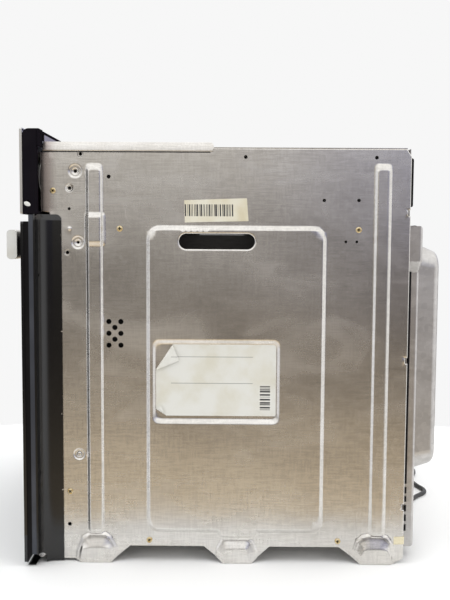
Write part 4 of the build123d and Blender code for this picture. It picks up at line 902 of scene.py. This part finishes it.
TAPE_BOX, TAPE_LAP, TAPE_LIFT, TAPE_THICK = (238.0, 252.2, 27.0, 38.0), 7.0, 0.35, 0.15
TAPE_R, TAPE_BEND, TAPE_REACH, TAPE_CREASE, TAPE_LEAN = 1.9, 1.5, 9.0, 0.25, 0.05


def corner_tape():
    """A creased scrap of tape over the sheet's rear edge, wrapped round it with a soft bend."""
    y0, y1, z0, z1 = TAPE_BOX
    long = y1 - y0
    run, z = np.meshgrid(np.linspace(0, long + TAPE_LAP, 40), np.linspace(z0, z1, 14))
    bend = np.clip((run - long + TAPE_BEND) / (2 * TAPE_BEND), 0, 1) * np.pi / 2
    past = np.maximum(run - long - TAPE_BEND, 0)
    y = y0 + np.minimum(run, long - TAPE_BEND) + TAPE_R * np.sin(bend)
    x = BODY_HALF + TAPE_LIFT - TAPE_R * (1 - np.cos(bend)) - past
    x = x + TAPE_CREASE * np.sin(z * 1.3 + run * 0.5) * np.sin(run * 0.7) * (past == 0)
    scrap = grid(np.maximum(x, BODY_HALF - TAPE_REACH), y, z + TAPE_LEAN * run)
    add_piece("corner_tape", [scrap], "white_plastic", finish="tape", thick=TAPE_THICK)


# Painted shade: dark strips in the shaded gaps behind the rear wall and along the cover's shaded top opening.
GAP_SHADE_RUNS = ((106, 411), (92, 101), (80, 88), (66, 75), (52, 61), (38, 47))
GAP_SHADE_X, GAP_SHADE_RISE, GAP_SHADE_Y, GAP_SHADE_STEP, GAP_SHADE_THICK = 248.6, 1.2, (251.7, 259.8), 10, 0.6
STRIP_HALF, STRIP_Y, STRIP_Z, STRIP_HIGH = 247.8, (258.8, 267.6), 466.6, 3.4


def rear_gap_shade():
    """Dark half rounds that paint the shade in the gaps: long and short runs behind the rear wall, and one on
    the cover's top edge, where its opening lies in shade.
    """
    parts = []
    for z0, z1 in GAP_SHADE_RUNS:
        line = np.linspace(z0, z1, max(3, int((z1 - z0) / GAP_SHADE_STEP)))
        parts += both_sides(*grid(*half_round(GAP_SHADE_X, GAP_SHADE_RISE, GAP_SHADE_Y, line, 9)))
    z, y, x = half_round(STRIP_Z, STRIP_HIGH, STRIP_Y, np.linspace(-STRIP_HALF, STRIP_HALF, 50), 9)
    parts.append(grid(x, y, z, flip=True))
    add_piece("rear_gap_shade", parts, "seal", finish="black_plastic", thick=GAP_SHADE_THICK)


# Cord: the route's points are those of the solid, then the coil's turns
CORD_R = 3.5
COIL_X, COIL_Y, COIL_INNER, COIL_PITCH = -205.0, 320.0, 28.0, 9.2
COIL_RISE, LAYER_TURNS, COIL_TAIL = 8.2, 1.75, 43.0
COIL_OUTER = COIL_INNER + COIL_PITCH * LAYER_TURNS
COIL_END = (COIL_X - COIL_TAIL, COIL_Y + COIL_OUTER, CORD_R + COIL_RISE)
GLAND_AT = (60, 288, 104)
CORD_ROUTE = [
    GLAND_AT, (60, 288, 76), (57, 291, 46), (46, 298, 18), (22, 311, CORD_R), (-16, 331, CORD_R),
    (-46, 361, CORD_R), (-88, 346, CORD_R), (-128, 346, CORD_R), (-164, COIL_Y + COIL_OUTER, CORD_R),
]
TURN_POINTS = 16


def coil_points():
    """A spiral in on the floor, a climb of half a turn, and a spiral out on top. The points stand a little
    wide, because the spline runs inside them."""
    layer = np.arange(0, LAYER_TURNS + 0.01, 1 / TURN_POINTS)
    climb = np.arange(1, TURN_POINTS // 2) / TURN_POINTS
    wide = 1 / np.cos(np.pi / TURN_POINTS)
    turn = np.concatenate((layer, LAYER_TURNS + climb, LAYER_TURNS + 0.5 + layer))
    radius = np.concatenate((COIL_OUTER - COIL_PITCH * layer, np.full(len(climb), COIL_INNER),
                             COIL_INNER + COIL_PITCH * layer)) * wide
    rise = np.concatenate((np.zeros(len(layer)), eased(climb * 2), np.ones(len(layer))))
    angle = np.pi / 2 + 2 * np.pi * turn
    return np.column_stack((COIL_X + radius * np.cos(angle), COIL_Y + radius * np.sin(angle),
                            CORD_R + COIL_RISE * rise))


def cord():
    """One smooth round cord along the route and the coil, to the plug."""
    tail = [(COIL_X - COIL_TAIL / 2, *COIL_END[1:]), COIL_END]
    route = np.concatenate((CORD_ROUTE, coil_points(), tail)) * MM
    curve = bpy.data.curves.new("mains_lead", "CURVE")
    curve.dimensions = "3D"
    curve.bevel_depth = CORD_R * MM
    curve.bevel_resolution = 6
    curve.resolution_u = 6
    curve.use_fill_caps = True
    spline = curve.splines.new("NURBS")
    spline.points.add(len(route) - 1)
    spline.points.foreach_set("co", np.column_stack((route, np.ones(len(route)))).ravel())
    spline.use_endpoint_u = True
    spline.order_u = 3
    curve.materials.append(finishes["cord_black"])
    lead = put("mains_lead", curve)
    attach(lead, "casing")
    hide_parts("mains_cord", "cord_coil")
    return lead, tuple(route[0])


SLEEVE_FOOT, SLEEVE_RIBS = [(0, 3.7), (0, 5.6), (1, 6.0)], np.arange(1.5, 12.6, 0.5)
SLEEVE_R, SLEEVE_TAPER, RIB_HIGH, RIB_RATE = 6.0, 0.13, 0.35, 2.6
NUT = [(13.0, 10.0), (13.4, 10.5), (22.4, 10.5), (22.8, 10.0), (23.0, 8.0), (33.0, 8.0)]


def gland():
    """The strain relief: a flanged nut under the bulge and a tapered ribbed sleeve round the cord."""
    ribs = SLEEVE_R + SLEEVE_TAPER * SLEEVE_RIBS + RIB_HIGH * np.sin(SLEEVE_RIBS * RIB_RATE)
    form = lathe([*SLEEVE_FOOT, *zip(SLEEVE_RIBS, ribs), *NUT], GLAND_AT, (0, 0, 1), 40)
    return add_piece("strain_relief", [form], "black_plastic", node="cord_gland", capped=True)


NECK_LONG, BODY_FROM, BODY_LONG = 10.0, 10.5, 18.9
PLUG_START, PLUG_SHOULDER, PLUG_FACE = (0.0, 3.6), (10.2, 8.4), [(29.9, 9.0), (30.0, 0.05)]
PIN, PIN_FROM, PIN_APART = [(0, 2.3), (16.5, 2.3), (18, 2.0), (18.8, 1.2), (19, 0.05)], 29, 6


def plug():
    """A round plug with two pins: a tapered neck and a body, ringed by sines, waisted by a cosine squared."""
    along = np.linspace(0, 1, 40)
    neck = 4.2 + 1.8 * along + 0.25 * np.sin(along * 40)
    body = 9.4 + 1.6 * np.cos((along - 0.75) * 4.2) ** 2 + 0.22 * np.sin(along * 75) * (along < 0.7)
    profile = [PLUG_START, *zip(NECK_LONG * along, neck), PLUG_SHOULDER,
               *zip(BODY_FROM + BODY_LONG * along, body), *PLUG_FACE]
    form = lathe(profile, COIL_END, (-1, 0, 0), 40)
    moulding = add_piece("plug_body", [form], "cord_black", node="mains_plug", capped=True)
    x, y, z = COIL_END
    pins = [lathe(PIN, (x - PIN_FROM, y + offset, z), (-1, 0, 0), 20) for offset in (-PIN_APART, PIN_APART)]
    return moulding, add_piece("plug_pins", pins, "bright_steel", capped=True)


# Fascia print: plain ticks round each knob
KNOBS = ((-170.0, 538.0, 315, 8), (170.0, 538.0, 270, 11))
TICK_RUN, TICK_WIDE, TICK_THICK = (23.5, 25.5, 27.5), (-0.45, 0.45), 0.05
FASCIA_Y = -271.05
MARK_HALF, MARK_Y, MARK_SAG, MARK_Z, MARK_THICK = 0.72, -270.9, 0.15, (8.2, 16.8), 0.1


def ticks():
    """Short bars that point at each knob's middle, spread over its turn."""
    reach, side = np.meshgrid(TICK_RUN, TICK_WIDE)
    parts = []
    for x, z, sweep, count in KNOBS:
        for angle in np.radians(90 - np.linspace(0, sweep, count)):
            along = np.cos(angle) * reach - np.sin(angle) * side
            high = np.sin(angle) * reach + np.cos(angle) * side
            parts.append(grid(x + along, FASCIA_Y, z + high))
    add_piece("fascia_ticks", parts, "black_plastic", finish="print_ink", thick=TICK_THICK)


def knob_marks():
    """Dark paint in each knob's groove: a shallow trough, a parabola across, carried up the groove."""
    side, up = np.linspace(-1, 1, 7), np.linspace(*MARK_Z, 12)[:, None]
    for name, (x, z, *_) in zip(("function", "temperature"), KNOBS):
        mark = grid(x + MARK_HALF * side, MARK_Y + MARK_SAG * (1 - side**2), z + up)
        add_piece(name + "_mark", [mark], "black_plastic", name + "_knob", finish="print_ink",
                  thick=MARK_THICK)


# Stage
FLOOR_AT, FLOOR_R = np.array((-0.10, 0.02)), np.array((0.55, 0.95))
FLOOR_GLOW, ROOM_DIM = (0.92, 0.76, 0.54), (0.11, 0.096, 0.09)
ROOM_WARM, ROOM_COOL = (0.96, 0.93, 0.88), (0.49, 0.51, 0.72)
WHITE, END_PALE = (1.0, 1.0, 1.0), (1.08, 1.09, 1.14)
ROOM_PALE, SOFT_BOX = (1.16, 1.16, 1.17), (1.38, 1.38, 1.38)
LIT_DIM, LIT_PALE, BACKDROP = (0.52, 0.53, 0.54), (0.74, 0.74, 0.735), 0.93
LAMPS = (
    ("right", (0.7, 2.2, 0.9), (0.2, 0.0, 0.35), 3.3, 34.0, (1.0, 0.99, 0.97)),
    ("left", (0.8, -2.2, 0.9), (0.2, 0.0, 0.35), 2.8, 26.0, (0.96, 0.98, 1.0)),
    ("top", (0.3, 0.0, 2.4), (0.1, 0.0, 0.3), 2.4, 40.0, WHITE),
    ("rear", (-1.8, 0.8, 1.4), (0.0, 0.1, 0.3), 1.4, 14.0, WHITE),
)


def stage():
    """An oval floor, a world and soft lamps. The world mirrors as white overhead and before the door. Low at
    the sides it mirrors, from the ground up, as a warm glow, as dim, and as a pale room."""
    mesh = bpy.data.meshes.new("floor")
    rim = np.column_stack((FLOOR_AT + circle(0.0, 0.0, 1.0, 128) * FLOOR_R, np.zeros(128)))
    mesh.from_pydata(rim.tolist(), [], [list(range(128))])
    floor = put("floor", mesh)
    mesh.materials.append(hazy("floor", (2.0, 2.0), (0.88, 0.88, 0.88), (0.92, 0.92, 0.915), (0.6, 0.1),
                               Specular_IOR_Level=0.2).material)
    scene.world = bpy.data.worlds.new("studio")
    scene.world.use_nodes = True
    tree = scene.world.node_tree
    way = Socket(tree).node("TexCoord")
    x, y, z = (way.part(axis) for axis in "XYZ")
    room = z.step(-0.36, -0.14).blend(FLOOR_GLOW, ROOM_DIM)
    room = z.step(-0.05, 0.14).blend(room, y.step(0.04, 0.20).blend(ROOM_WARM, ROOM_COOL))
    low = 1 - z.step(0.16, 0.36)
    seen = ((1 - y.step(-0.62, -0.22)) * low).blend(z.step(0.3, 0.6).blend(ROOM_PALE, SOFT_BOX), END_PALE)
    seen = (abs(x).step(0.42, 0.80) * low).blend(seen, room)
    direct, glossy, through = (way.node("LightPath", out=f"Is {kind} Ray")
                               for kind in ("Camera", "Glossy", "Transmission"))
    backdrop = way.node("Background", None, {"Color": (*WHITE, 1.0), "Strength": BACKDROP})
    mirrored = way.node("Background", None, {"Color": seen})
    lit = way.node("Background", None, {"Color": x.step(-0.2, 0.9).blend(LIT_DIM, LIT_PALE)})
    mix = way.node("MixShader", None, {0: way.math("MAXIMUM", glossy, through), 1: lit, 2: mirrored})
    mix = way.node("MixShader", None, {0: direct, 1: mix, 2: backdrop})
    tree.links.new(mix.socket, tree.nodes["World Output"].inputs["Surface"])
    for name, at, aim, size, power, tint in LAMPS:
        light = put(name, bpy.data.lights.new(name, "AREA"))
        light.data.size, light.data.energy, light.data.color = size, power, tint
        light.visible_glossy = False
        light.location = at
        light.rotation_euler = (Vector(aim) - Vector(at)).to_track_quat("-Z", "Y").to_euler()


NODE_FINISHES = {"door_handle": "handle_steel", "back_cover": "dull_zinc", "rear_panel": "dull_zinc",
                 "fascia_carrier": "matt_black"}
make_camera()
slots = {part["node"]: part["material_slot"] for part in frame["record"]["subparts"]}
for node, solid in frame["nodes"].items():
    solid.data.materials.clear()
    solid.data.materials.append(finishes[NODE_FINISHES.get(node, slots[node])])
lead, lead_exit = cord()
relief = gland()
plug_pieces = plug()
for build in (side_sheets, screws, big_label, bar_tag, ticks, knob_marks, end_clips, corner_tape, rear_gap_shade,
              cover_hems, hem_shade_strips, carrier_tabs, stage):
    build()
